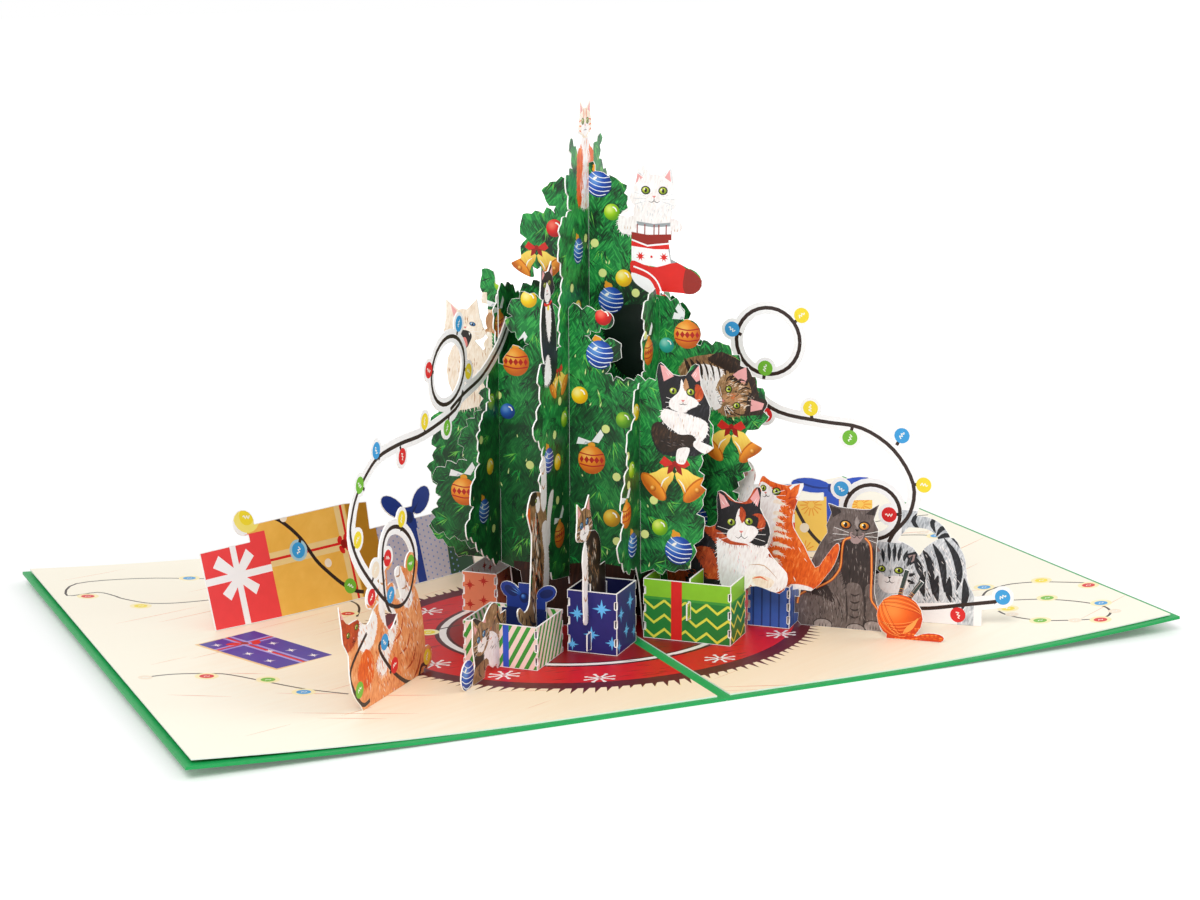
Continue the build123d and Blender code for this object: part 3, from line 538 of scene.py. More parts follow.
class Plate:
    """Where a flat sheet lies: its origin, its x and its front's normal, and its two faces."""

    def __init__(self, origin, along, normal, front=SHEET / 2, back=-SHEET / 2):
        self.origin = Vector(origin)
        self.along = Vector(along).normalized()
        self.normal = Vector(normal).normalized()
        self.up = self.normal.cross(self.along)
        self.front, self.back = front, back

    def point(self, x, y, depth):
        return (self.origin + self.along * x + self.up * y + self.normal * depth) * MM

    def flat(self, point):
        far = point / MM - self.origin
        return far.dot(self.along), far.dot(self.up), far.dot(self.normal)


def u_plate(v, front=SHEET / 2, back=-SHEET / 2):
    return Plate((v / WALL_ROOT, v / WALL_ROOT, 0), (1, -1, 0), (-1, -1, 0), front, back)


def v_plate(u, front=SHEET / 2, back=-SHEET / 2):
    return Plate((u / WALL_ROOT, -u / WALL_ROOT, 0), (1, 1, 0), (1, -1, 0), front, back)


def cut_outline(node, plate):
    """Outlines of a packed sheet's front face, outer ones anticlockwise and holes clockwise."""
    mesh = bmesh.new()
    mesh.from_mesh(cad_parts[node].data)
    bmesh.ops.remove_doubles(mesh, verts=mesh.verts, dist=2e-6)
    front = set()
    for face in mesh.faces:
        depth = plate.flat(face.calc_center_median())[2]
        if face.normal.dot(plate.normal) > 0.98 and abs(depth - plate.front) < 0.04:
            front.add(face.index)
    after = {}
    for face in mesh.faces:
        if face.index not in front:
            continue
        for corner in face.loops:
            if sum(other.index in front for other in corner.edge.link_faces) == 1:
                after.setdefault(corner.vert.index, []).append(corner.link_loop_next.vert.index)
    places = {v.index: plate.flat(v.co)[:2] for v in mesh.verts}
    loops = []
    while after:
        start = next(iter(after))
        loop, here = [start], after[start].pop()
        if not after[start]:
            del after[start]
        while here != start and here in after:
            loop.append(here)
            there = after[here].pop()
            if not after[here]:
                del after[here]
            here = there
        if len(loop) > 2:
            loops.append([places[k] for k in loop])
    mesh.free()
    return loops


def inner_margin(loop, width):
    """Strips of bare card just inside an outline."""
    strips = []
    for (x0, y0), (x1, y1) in zip(loop, [*loop[1:], loop[0]]):
        length = hypot(x1 - x0, y1 - y0)
        if length < 0.05:
            continue
        inward = ((y0 - y1) / length * width, (x1 - x0) / length * width)
        strips.append([(x0, y0), (x1, y1), (x1 + inward[0], y1 + inward[1]),
            (x0 + inward[0], y0 + inward[1])])
    return strips


def printed_mesh(name, sheets, back_ink=None):
    """One closed mesh of one or more printed sheets.
    Each sheet is (outlines, print, base ink, function to its place, limits, margin, rules)."""
    inks, vertices, faces, face_inks, flat_places, shape_places = [], [], [], [], [], []

    def ink_number(ink):
        if ink not in inks:
            inks.append(ink)
        return inks.index(ink)

    for loops, picture, base, place_of, limits, margin, rules in sheets:
        layers = list(picture.layers)
        if margin:
            for loop in loops:
                layers += [(strip, "core", "both", (0, 0, 0, 1, 1)) for strip in inner_margin(loop, margin)]
        points, edges, rings = [], [], []

        def ring_of(corners):
            first = len(points)
            points.extend(Vector(c) for c in corners)
            rings.append(list(range(first, len(points))))

        outer = {k for k, loop in enumerate(loops) if area_of(loop) > 0}
        for loop in loops:
            ring_of(loop if area_of(loop) > 0 else loop[::-1])
        count = len(loops)
        if limits:
            ring_of([(limits[0], -50), (limits[1], -50), (limits[1], 300), (limits[0], 300)])
            count += 1
        for layer in layers:
            ring_of(layer[0])
        for a, b in rules:
            edges.append((len(points), len(points) + 1))
            points.extend((Vector(a), Vector(b)))
        spots, _, triangles, _, _, sources = delaunay_2d_cdt(points, edges, rings, 0, 1e-4)
        kept = []
        for triangle, source in zip(triangles, sources):
            cut = {k for k in source if k < len(loops)}
            if not cut & outer or cut - outer:
                continue
            if limits and len(loops) not in source:
                continue
            a, b, c = (spots[k] for k in triangle)
            if (b - a).cross(c - a) < 0:
                triangle = triangle[::-1]
            x, y = (a + b + c) / 3
            over = [k - count for k in source if k >= count]
            over = [k for k in sorted(over, reverse=True) if inside(x, y, layers[k][0])]
            front = next((k for k in over if layers[k][2] != "back"), None)
            back = next((k for k in over if layers[k][2] != "front"), None)
            kept.append((triangle, front, back))
        first = len(vertices)
        used = sorted({k for triangle, _, _ in kept for k in triangle})
        number = {k: first + 2 * n for n, k in enumerate(used)}
        for k in used:
            vertices.extend(place_of(*spots[k]))
        borders = {}
        for triangle, front, back in kept:
            for i, j in zip(triangle, [*triangle[1:], triangle[0]]):
                borders[(i, j)] = borders.get((i, j), 0) + 1
            for layer, side, order in ((front, 0, triangle), (back, 1, triangle[::-1])):
                ink = layers[layer][1] if layer is not None else (base if side == 0 or back_ink is None
                    else back_ink)
                x, y, tilt, a, b = layers[layer][3] if layer is not None else (0, 0, 0, 1, 1)
                faces.append([number[k] + side for k in order])
                face_inks.append(ink_number(ink))
                for k in order:
                    p, q = spots[k][0], spots[k][1]
                    flat_places.append((p, q))
                    shape_places.append((((p - x) * cos(tilt) + (q - y) * sin(tilt)) / a,
                        ((q - y) * cos(tilt) - (p - x) * sin(tilt)) / b))
        for (i, j) in borders:
            if (j, i) not in borders:
                faces.append([number[j], number[i], number[i] + 1, number[j] + 1])
                face_inks.append(ink_number("core"))
                flat_places.extend([(0, 0)] * 4)
                shape_places.extend([(0, 0)] * 4)
    mesh = bpy.data.meshes.new(name)
    mesh.from_pydata(vertices, [], faces)
    for ink in inks:
        mesh.materials.append(INKS[ink])
    mesh.polygons.foreach_set("material_index", face_inks)
    for layer, values in (("sheet", flat_places), ("shape", shape_places)):
        uv = mesh.uv_layers.new(name=layer)
        uv.data.foreach_set("uv", [n for pair in values for n in pair])
    mesh.update()
    piece = bpy.data.objects.new(name, mesh)
    bpy.context.scene.collection.objects.link(piece)
    return piece


def flat_place(plate):
    return lambda x, y: (plate.point(x, y, plate.front), plate.point(x, y, plate.back))


def hand_over(piece, node):
    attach(piece, "root")
    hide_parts(node)


def printed_sheet(node, plate, picture, base, margin=MARGIN, back_ink=None):
    """A packed flat sheet, printed."""
    loops = cut_outline(node, plate)
    sheet = (loops, picture, base, flat_place(plate), None, margin, [])
    hand_over(printed_mesh(node + "_print", [sheet], back_ink), node)


# Ornaments of the tree

def striped_ball(p, x, y, r=4.2, tilt=-12):
    p.oval(x - 0.2 * r, y + 1.08 * r, 0.34 * r, 0.26 * r, "cap gold", 0, 8)
    p.oval(x - 0.34 * r, y + 1.28 * r, 0.13 * r, 0.2 * r, "cap gold", 30, 6)
    p.oval(x, y, r, r, "blue glass", 0, 22)
    c, s = cos(radians(tilt)), sin(radians(tilt))
    for height in (-0.72, -0.38, -0.04, 0.3, 0.64):
        half = sqrt(1 - height * height) * 0.97
        bow = [(-half, height + 0.1), (-half / 2, height - 0.08), (0, height - 0.14),
            (half / 2, height - 0.08), (half, height + 0.1)]
        p.line([(x + r * (c * a - s * b), y + r * (s * a + c * b)) for a, b in bow], 0.06 * r, "ball line", 2)
    p.oval(x - 0.32 * r, y + 0.42 * r, 0.2 * r, 0.11 * r, "glint", 30, 8)


def banded_ball(p, x, y, r=4.2, bow=1):
    p.oval(x, y + 1.06 * r, 0.28 * r, 0.2 * r, "cap gold", 0, 8)
    p.oval(x, y, r, r, "orange glass", 0, 22)
    for height in (0.42, -0.36):
        half = sqrt(1 - height * height) * 0.98
        p.line([(x - half * r, y + (height + 0.05) * r), (x, y + (height - 0.1) * r),
            (x + half * r, y + (height + 0.05) * r)], 0.09 * r, "ball band", 4)
    for k in range(-2, 3):
        dx, dy = k * 0.37 * r, (0.02 - 0.03 * (4 - k * k) / 4) * r
        w = 0.2 * r * (1 - 0.06 * k * k)
        p.shape([(x + dx - w, y + dy), (x + dx, y + dy - 0.25 * r), (x + dx + w, y + dy),
            (x + dx, y + dy + 0.25 * r)], "ball band")
    if bow:
        ribbon_tails(p, x, y + 1.3 * r, 0.75 * r, bow)


def ribbon_tails(p, x, y, s, way):
    p.shape([(x, y), (x - 1.3 * s, y + 0.35 * s), (x - 1.5 * s, y - 0.3 * s), (x - 0.6 * s, y - 0.3 * s)],
        "ribbon white")
    p.shape([(x, y), (x + 0.9 * way * s, y + 1.2 * s), (x + 1.2 * way * s, y + 0.7 * s),
        (x + 0.7 * way * s, y - 0.1 * s)], "ribbon white")
    p.shape([(x - 0.2 * s, y - 0.1 * s), (x - 0.8 * s, y - 0.3 * s), (x - 0.6 * s, y - 0.02 * s)],
        "ribbon shade")


def plain_ball(p, x, y, ink, r=2.8):
    p.oval(x, y, r, r, ink, 0, 18)
    p.line([(x + 0.1 * r, y + 0.62 * r), (x + 0.45 * r, y + 0.45 * r), (x + 0.6 * r, y + 0.1 * r)], 0.16 * r,
        "glint", 2)


def glow_dot(p, x, y, r=1.3):
    p.oval(x, y, r, r, "glow dot", 0, 12)


def bells(p, x, y, s=6.0):
    for side in (-1, 1):
        turn = radians(46 * side)
        c, t = cos(turn), sin(turn)

        def at(a, b):
            return (x + side * 0.6 * s + s * (c * a - t * b), y + 0.1 * s + s * (t * a + c * b))

        body = [(-0.2, 0.62), (0.2, 0.62), (0.36, 0.36), (0.42, 0.0), (0.56, -0.3), (0.8, -0.52), (0, -0.66),
            (-0.8, -0.52), (-0.56, -0.3), (-0.42, 0.0), (-0.36, 0.36)]
        p.shape([at(a, b) for a, b in body], "bell")
        cx, cy = at(0, -0.55)
        p.oval(cx, cy, 0.8 * s, 0.34 * s, "bell lip", degrees(turn), 18)
        p.oval(cx, cy - 0.02 * s, 0.74 * s, 0.28 * s, "bell mouth", degrees(turn), 18)
        p.oval(*at(0.04, -0.62), 0.14 * s, 0.14 * s, "clapper", 0, 10)
        glint = [at(-0.2 * side - 0.06, 0.35), at(-0.2 * side - 0.1, 0.0), at(-0.34 * side - 0.1, -0.3)]
        p.line(glint, 0.07 * s, "glint", 3, True)
    top = y + 0.82 * s
    for side in (-1, 1):
        p.shape([(x, top), (x + side * 0.5 * s, top + 0.34 * s), (x + side * 0.72 * s, top + 0.02 * s),
            (x + side * 0.46 * s, top - 0.16 * s)], "red bow")
        p.shape([(x, top), (x + side * 0.3 * s, top - 0.1 * s), (x + side * 0.36 * s, top - 0.5 * s),
            (x + side * 0.1 * s, top - 0.34 * s)], "red bow dark")
    p.oval(x, top + 0.02 * s, 0.12 * s, 0.14 * s, "red bow dark", 0, 8)


def fir_sprigs(p, left, right, low, high, centre, spacing=5.6):
    """Fans of painted needles that point outwards and down."""
    y = low
    while y < high:
        x = left
        while x < right:
            sx, sy = x + chance.uniform(-2.4, 2.4), y + chance.uniform(-2.4, 2.4)
            lean = max(-62, min(62, (sx - centre) * 1.7)) + chance.uniform(-26, 26)
            fan = chance.choice([("needle dark", "needle dark"), ("needle dark", "needle dark"),
                ("needle mid", "needle dark"), ("needle mid", "needle light")])
            for k in range(6):
                angle = -90 + lean + (k - 2.5) * chance.uniform(10, 17)
                length = chance.uniform(2.4, 5.0)
                p.stroke(sx + chance.uniform(-0.8, 0.8), sy, angle, length, chance.uniform(0.22, 0.46),
                    chance.choice(fan))
            x += spacing
        y += spacing * 0.82


def tip_flecks(p, left, right, low, high, count):
    for _ in range(count):
        x, y = chance.uniform(left, right), chance.uniform(low, high)
        p.stroke(x, y, chance.uniform(60, 120), chance.uniform(1.0, 2.2), 0.42, "needle pale")


# Cats

def printed(draw_it):
    p = Print()
    draw_it(p)
    return p


def eye(p, x, y, w, h, iris="iris green", tilt=0):
    p.oval(x, y, 1.3 * w, 1.36 * h, "fine dark", tilt, 12)
    p.oval(x, y, w, h, iris, tilt, 12)
    p.oval(x, y, 0.4 * w, 0.74 * h, "fine dark", tilt, 8)
    p.oval(x - 0.34 * w, y + 0.34 * h, 0.2 * w, 0.22 * h, "glint", 0, 6)


def nose(p, x, y, w, ink="nose pink", tilt=0):
    c, s = cos(radians(tilt)), sin(radians(tilt))
    p.shape([(x + c * a - s * b, y + s * a + c * b) for a, b in ((-w, 0.5 * w), (w, 0.5 * w),
        (0, -0.7 * w))], ink)


def mouth(p, x, y, w, drop=0.7, tilt=0):
    """Line under a nose, turned up or down at both ends."""
    c, s = cos(radians(tilt)), sin(radians(tilt))
    for side in (-1, 1):
        bow = ((0, 0), (0, -0.4 * w), (side * 0.45 * w, -drop * w), (side * w, -0.45 * w))
        p.line([(x + c * a - s * b, y + s * a + c * b) for a, b in bow], 0.22, "fine dark", 3, True)


def whiskers(p, x, y, near, far, tilt=0, ink="whisker"):
    for side in (0, 180):
        for spread in (-16, 0, 16):
            turn = radians(tilt + side + spread)
            p.line([(x + near * cos(turn), y + near * sin(turn)),
                (x + far * cos(turn), y + far * sin(turn))], 0.13, ink, 1)


def fur_dabs(p, x, y, a, b, tilt, flow, inks, count, length=2.0, width=0.3):
    """Dabs of a fur brush inside an oval, along one direction."""
    inks = inks.split(", ")
    c, s = cos(radians(tilt)), sin(radians(tilt))
    for _ in range(count):
        far, turn = sqrt(chance.random()), chance.uniform(0, 2 * pi)
        p0, q0 = a * far * cos(turn), b * far * sin(turn)
        p.stroke(x + c * p0 - s * q0, y + s * p0 + c * q0, flow + chance.uniform(-16, 16),
            chance.uniform(0.6, 1.2) * length, width, chance.choice(inks))


def toes(p, x, y, spread, tilt=90):
    for k in (-1, 0, 1):
        p.stroke(x + k * spread, y, tilt, 1.3, 0.2, "tan")


def bars_across(p, points, width, thick, ink):
    """Stripes of a coat across a line of points."""
    line = smooth(points, 4)
    for k in range(2, len(line) - 1, 3):
        (x0, y0), (x1, y1) = line[k - 1], line[k + 1]
        turn = atan2(y1 - y0, x1 - x0) + pi / 2
        c, s, half = cos(turn), sin(turn), width / 2
        p.line([(x0 - c * half, y0 - s * half), ((x0 + x1) / 2, (y0 + y1) / 2),
            (x0 + c * half, y0 + s * half)], thick, ink, 3, True)


def striped_head(p, x, y, r, tilt=0, iris="iris green", coat="tabby", dark="tabby dark", muzzle="white"):
    """Round head of a small tabby, its ears cut by the card's own outline."""
    c, s = cos(radians(tilt)), sin(radians(tilt))

    def at(a, b):
        return x + r * (c * a - s * b), y + r * (s * a + c * b)

    p.oval(x, y, 1.25 * r, 1.05 * r, coat, tilt, 20)
    for side in (-1, 1):
        p.shape([at(side * 1.1, 0.2), at(side * 0.95, 1.75), at(side * 0.2, 0.75)], coat)
        p.shape([at(side * 0.85, 0.6), at(side * 0.84, 1.3), at(side * 0.45, 0.8)], "ear pink")
        for k in range(3):
            p.stroke(*at(side * 1.1, 0.1 - 0.28 * k), tilt + 90 + side * (80 + 14 * k), 0.5 * r, 0.13 * r,
                dark)
        p.line([at(side * 0.32, 0.9), at(side * 0.2, 0.5), at(side * 0.28, 0.2)], 0.13 * r, dark, 3, True)
    p.line([at(0, 0.95), at(0, 0.45)], 0.12 * r, dark, 2, True)
    for side in (-1, 1):
        p.oval(*at(side * 0.28, -0.42), 0.42 * r, 0.34 * r, muzzle, tilt, 12)
        eye(p, *at(side * 0.42, 0.08), 0.2 * r, 0.17 * r, iris, tilt + side * 10)
    p.oval(*at(0, -0.66), 0.34 * r, 0.26 * r, muzzle, tilt, 12)
    nose(p, *at(0, -0.22), 0.13 * r, "nose pink", tilt)
    mouth(p, *at(0, -0.34), 0.3 * r, 0.6, tilt)
    whiskers(p, *at(0, -0.36), 0.4 * r, 1.25 * r, tilt)


# The tree's sheets

def stocking_print(p):
    p.rows(19.4, 38, 126, 142, "white")
    p.coat("white", 16, 124, 20, 128, 20.4, 134, 21, 139, 27, 138, 32.4, 140, 33.4, 131, 36, 124, 36, 118,
        27, 119, 17, 119)
    p.corners("ear pink", 20.9, 133.8, 21.2, 137.6, 23.6, 135.8)
    p.corners("ear pink", 30.4, 136, 32, 138.4, 32.4, 134.8)
    for k in range(5):
        p.stroke(22.0 + 0.25 * k, 134.2, 74 + 8 * k, 1.9, 0.14, "white")
    for line in (pairs(20.6, 133.6, 20.9, 137.8, 23.6, 136.2), pairs(30.2, 136.4, 32.2, 138.6, 32.8, 134.4)):
        p.line(line, 0.22, "silver", 3)
    for x, y, a, b in ((22.6, 127.6, 1.2, 1.6), (31.6, 127.6, 1.2, 1.6), (27, 126, 4, 0.7)):
        fur_dabs(p, x, y, a, b, 0, -90, "silver, ribbon shade, white", 14, 1.3, 0.13)
    fur_dabs(p, 27, 125.4, 7, 3.6, 0, -90, "cream, silver, cream", 26, 1.5, 0.16)
    fur_dabs(p, 27, 136, 4, 1.8, 0, 90, "silver, cream", 10, 1.1, 0.12)
    eye(p, 24.5, 132.1, 1.15, 0.95, tilt=-8)
    eye(p, 29.9, 132.1, 1.15, 0.95, tilt=8)
    nose(p, 27.1, 130.2, 0.62)
    mouth(p, 27.1, 129.9, 1.9)
    whiskers(p, 27.1, 129.6, 2.6, 6.4, 0, "silver")
    p.corners("stocking grey", 20.2, 119.3, 33.6, 119.2, 33.8, 123, 27, 122.2, 20, 123)
    p.corners("card white", 20.2, 119.3, 33.2, 119.2, 33.2, 121.8, 27, 121.2, 20.2, 121.8)
    for x in (21.6, 24, 26.9, 28.4, 30.7, 32.4):
        p.corners("stocking dark", x, 119, x + 0.35, 119, x + 0.4, 122, x + 0.05, 122)
    p.patch("white", 16.6, 120.6, 18.4, 124.6, 21, 124.4, 21.6, 121, 19, 119.4)
    p.patch("white", 32.2, 122.6, 34, 123.6, 37, 121.6, 36, 119, 33, 119.4)
    toes(p, 18.8, 120.2, 0.9)
    toes(p, 34.4, 119.8, 0.9)
    p.corners("stocking dark", 20, 119.6, 25, 118.9, 33.2, 119.4, 33.2, 117, 25, 115.9, 20, 117.5)
    p.corners("card white", 20, 117.5, 25, 115.9, 33.2, 117, 33.2, 116.5, 25, 115.4, 20, 117)
    p.corners("stocking red", 20, 117, 25, 115.4, 33.2, 116.5, 33.4, 114.9, 27, 114.5, 20, 115.4)
    p.corners("card white", 20, 115.4, 27, 114.7, 34, 114.9, 35, 111.6, 31, 110.2, 28, 109.4, 24, 109.9, 20,
        111)
    p.corners("stocking grey", 31.6, 115, 34, 115, 35.4, 111.4, 32.4, 110.6)
    for x in (22.8, 30.2):
        for k in range(8):
            p.stroke(x, 112.4, 45 * k + 22, 1.5, 0.5, "stocking red")
    p.oval(26.3, 112.4, 0.4, 0.4, "stocking red", 0, 8)
    p.patch("stocking red", 20, 111, 24, 109.9, 28, 109.4, 34.2, 111, 38, 108.6, 41.6, 106.6, 42.6, 104, 40,
        101.6, 36, 101, 29, 101, 24, 103, 20, 107)
    p.patch("stocking dark", 37.4, 109.4, 41, 107.4, 42.6, 104.4, 41, 101.8, 37.6, 101.4, 36.2, 103.6, 36.4,
        106.6)
    p.patch("card white", 20, 107.4, 24, 106.3, 26, 105.2, 27.4, 102.8, 27, 101, 23, 103, 20.6, 105)
    p.line(pairs(20.6, 109.3, 25, 107.7, 28, 105.2, 29.6, 101.6), 0.5, "card white")


def branch_cat_print(p):
    p.coat("tabby", 35, 79, 38, 82.5, 44, 84, 50, 84.6, 56, 81.4, 58, 77, 54, 70, 46, 68, 40, 71, 37, 75)
    p.coat("tabby dark", 44, 82.4, 47.6, 85, 50.4, 84.4, 56, 81.6, 59, 77, 56, 76, 50, 79.6, hair=0.9)
    p.coat("white", 41.8, 81, 47, 80.4, 48.8, 79, 48, 76, 47.4, 73, 47, 70.4, 45, 68, 42, 72, 40.6, 77,
        hair=1.5)
    for k in range(7):
        x = 36.6 + 1.9 * k
        p.draw(1.3 if k < 3 else 0.6, "tabby dark", x, 82.6 - 0.15 * k, x + 1.3, 80, x + 2, 77 - 0.2 * k)
    fur_dabs(p, 43.4, 75, 3, 5, 0, -75, "silver, tan, white, tabby dark", 34, 1.5, 0.16)
    p.coat("tabby", 46.6, 74, 48.4, 77.6, 52, 79, 55.8, 79, 58.4, 76, 60, 72, 59, 68, 55.4, 66.4, 51, 65.6,
        47.4, 67, 46, 70.4, hair=0.9)
    p.corners("tabby dark", 50.6, 77, 53, 79.9, 56.6, 81.8, 57.6, 79.6, 56.2, 75)
    p.corners("ear pink", 51.8, 78.4, 53.6, 79.8, 56, 81, 56.3, 77.6, 55.4, 75.6)
    p.corners("tabby dark", 56.8, 73.6, 60, 72, 63.6, 71.2, 63.4, 68.6, 60.4, 66.8, 55.4, 66.2)
    p.corners("ear pink", 57.6, 71.4, 61.6, 70.4, 61, 68.6, 57.4, 67.6)
    p.patch("tabby dark", 57, 80.6, 58.6, 78, 59.6, 74, 60, 71.8, 58, 72.2, 57.4, 75, 56.2, 78)
    p.coat("white", 46, 73.6, 47.8, 72, 48.6, 70.6, 48, 68.2, 46, 67.6, 45.2, 70.4, hair=0.7)
    p.coat("tan", 48.8, 71.8, 51, 72.8, 53.8, 73, 54.8, 71.4, 53, 70, 50.4, 69.8, hair=0.9)
    fur_dabs(p, 51.4, 71.4, 2.6, 1.1, 0, 10, "ginger, cream, tan", 16, 1.4, 0.24)
    fur_dabs(p, 52, 72, 5.4, 5.4, 0, 20, "cream, tan, tabby dark, tan", 90, 1.7, 0.24)
    for x, y, a, b in ((51.2, 75.6, 1.5, 1), (54.8, 69, 1.6, 0.9), (53.6, 75.4, 1, 1.6),
            (50.6, 67.8, 1.8, 0.8)):
        fur_dabs(p, x, y, a, b, 0, 20, "cream, tan", 12, 1.3, 0.26)
    p.draws(0.5, "tabby dark", (52, 75.6, 54.4, 77, 56, 76.6), (53.6, 73.8, 56, 74.8, 58, 74),
        (54.4, 72, 57, 72.4, 58.8, 71), (52, 67.2, 54.4, 66.4, 56.6, 67), (49.6, 76, 50.6, 77.6, 52.4, 78.2),
        (49, 67.4, 51, 66.6, 53, 66.2), (54, 70, 56, 70.6, 58, 69.4), (50, 68.8, 51, 67.8, 53, 67.6))
    eye(p, 50.6, 74, 0.95, 0.8, tilt=70)
    eye(p, 53.1, 69.2, 0.95, 0.8, tilt=20)
    nose(p, 48.9, 70.4, 0.6, "nose pink", -60)
    mouth(p, 48.3, 70.2, 1.1, tilt=-60)
    whiskers(p, 48.8, 70.3, 1.6, 4.6, -60)


def cream_cat_print(p):
    p.rows(-46, -27, 90, 99, "cream")
    p.coat("cream", -40, 92, -39.6, 96, -35, 93.4, -31, 93, -26, 93.6, -25.6, 86, -25.6, 76, -27, 66, -31,
        63, -42.6, 63, -42.6, 86)
    p.coat("tan", -27.6, 92, -25.4, 92.4, -25, 87, -28.4, 87.6, hair=1.0)
    p.corners("ear pink", -39.2, 94.8, -37.2, 92.8, -38.2, 90.6)
    for x, y, a, b in ((-34, 90.6, 1.5, 1.4), (-27.8, 80, 1.5, 4.6), (-40.6, 76, 1.1, 7),
            (-34.6, 77.4, 3.2, 1.2)):
        fur_dabs(p, x, y, a, b, 0, -86, "tan, cream", 14, 1.9, 0.26)
    fur_dabs(p, -33.4, 73, 5.6, 6, 0, -88, "white, tan, cream", 36, 2.2, 0.24)
    for x in (-36, -32):
        eye(p, x, 88.9, 0.85, 0.5, "iris blue", 14 if x < -34 else -12)
    p.stroke(-34.4, 89.6, 90, 2, 0.4, "tan")
    p.patch("fine dark", -36.9, 85.7, -35.4, 86.9, -33, 86.5, -32.3, 85, -33.1, 83, -34, 81.5, -35.1, 81.5,
        -35.9, 83.6)
    p.patch("nose pink", -35.6, 84.3, -34.4, 84.6, -33.8, 83, -34, 81.8, -35.1, 81.7, -35.6, 83)
    for x in (-36.2, -33.3):
        p.corners("glint", x, 86.2, x + 0.45, 86.2, x + 0.2, 85.2)
    nose(p, -34.5, 87.7, 0.55)
    whiskers(p, -34.5, 86.6, 1.8, 5, 0, "white")
    for x in (-39.2, -37.6, -31.8, -30):
        p.draw(0.3, "tan", x, 68, x + 0.2, 66, x - 0.1, 64)


def hang(p, striped_size, striped, banded_size, banded, plain, dots):
    for x, y in striped:
        striped_ball(p, x, y, striped_size)
    for x, y, *bow in banded:
        banded_ball(p, x, y, banded_size, *bow)
    for x, y, ink, *size in plain:
        plain_ball(p, x, y, ink, *size)
    for x, y in dots:
        glow_dot(p, x, y)


def tree_u_centre_print(p):
    fir_sprigs(p, -48, 64, 14, 140, 6)
    tip_flecks(p, -46, 60, 20, 136, 70)
    # Painted shade: a near-black patch where the tree's inside lies in shadow behind the front sheet's
    # opening
    p.coat("hollow", 11, 90, 14, 95.4, 19, 97.6, 24.4, 96, 24.6, 78, 19, 75.6, 14, 80, hair=2.2, width=0.5)
    p.corners("trunk", -14, 0, 33, 0, 34, 17.4, 24, 19.4, 10, 17.6, -4, 19, -14, 17.4)
    hang(p, 4, ((9.7, 133.4), (13.4, 98.7), (40.2, 33.7)), 4.2, ((37.6, 89.6, -1), (-23.4, 90.2, 1),
        (-30.5, 45, 1)), ((13.8, 125.2, "lime glass", 2.5), (17.5, 105.6, "yellow glass", 2.6),
        (-4.6, 119.6, "red glass", 2.7), (-21.9, 101.6, "lime glass", 2.6), (31.1, 86.1, "teal glass", 2.3),
        (22, 60, "gold glass", 2.8), (-20, 66, "dim glass", 2.6)), ((8.3, 115.7), (10.8, 106.8),
        (21.3, 101.3), (-13, 49), (-10.2, 36.5), (24, 44), (30, 72), (-36, 30), (40, 58), (-2, 92)))
    bells(p, -10.5, 109, 5.4)
    bells(p, 51.5, 57.5, 6.2)
    bells(p, -15.8, 23.4, 5)
    stocking_print(p)
    branch_cat_print(p)
    cream_cat_print(p)


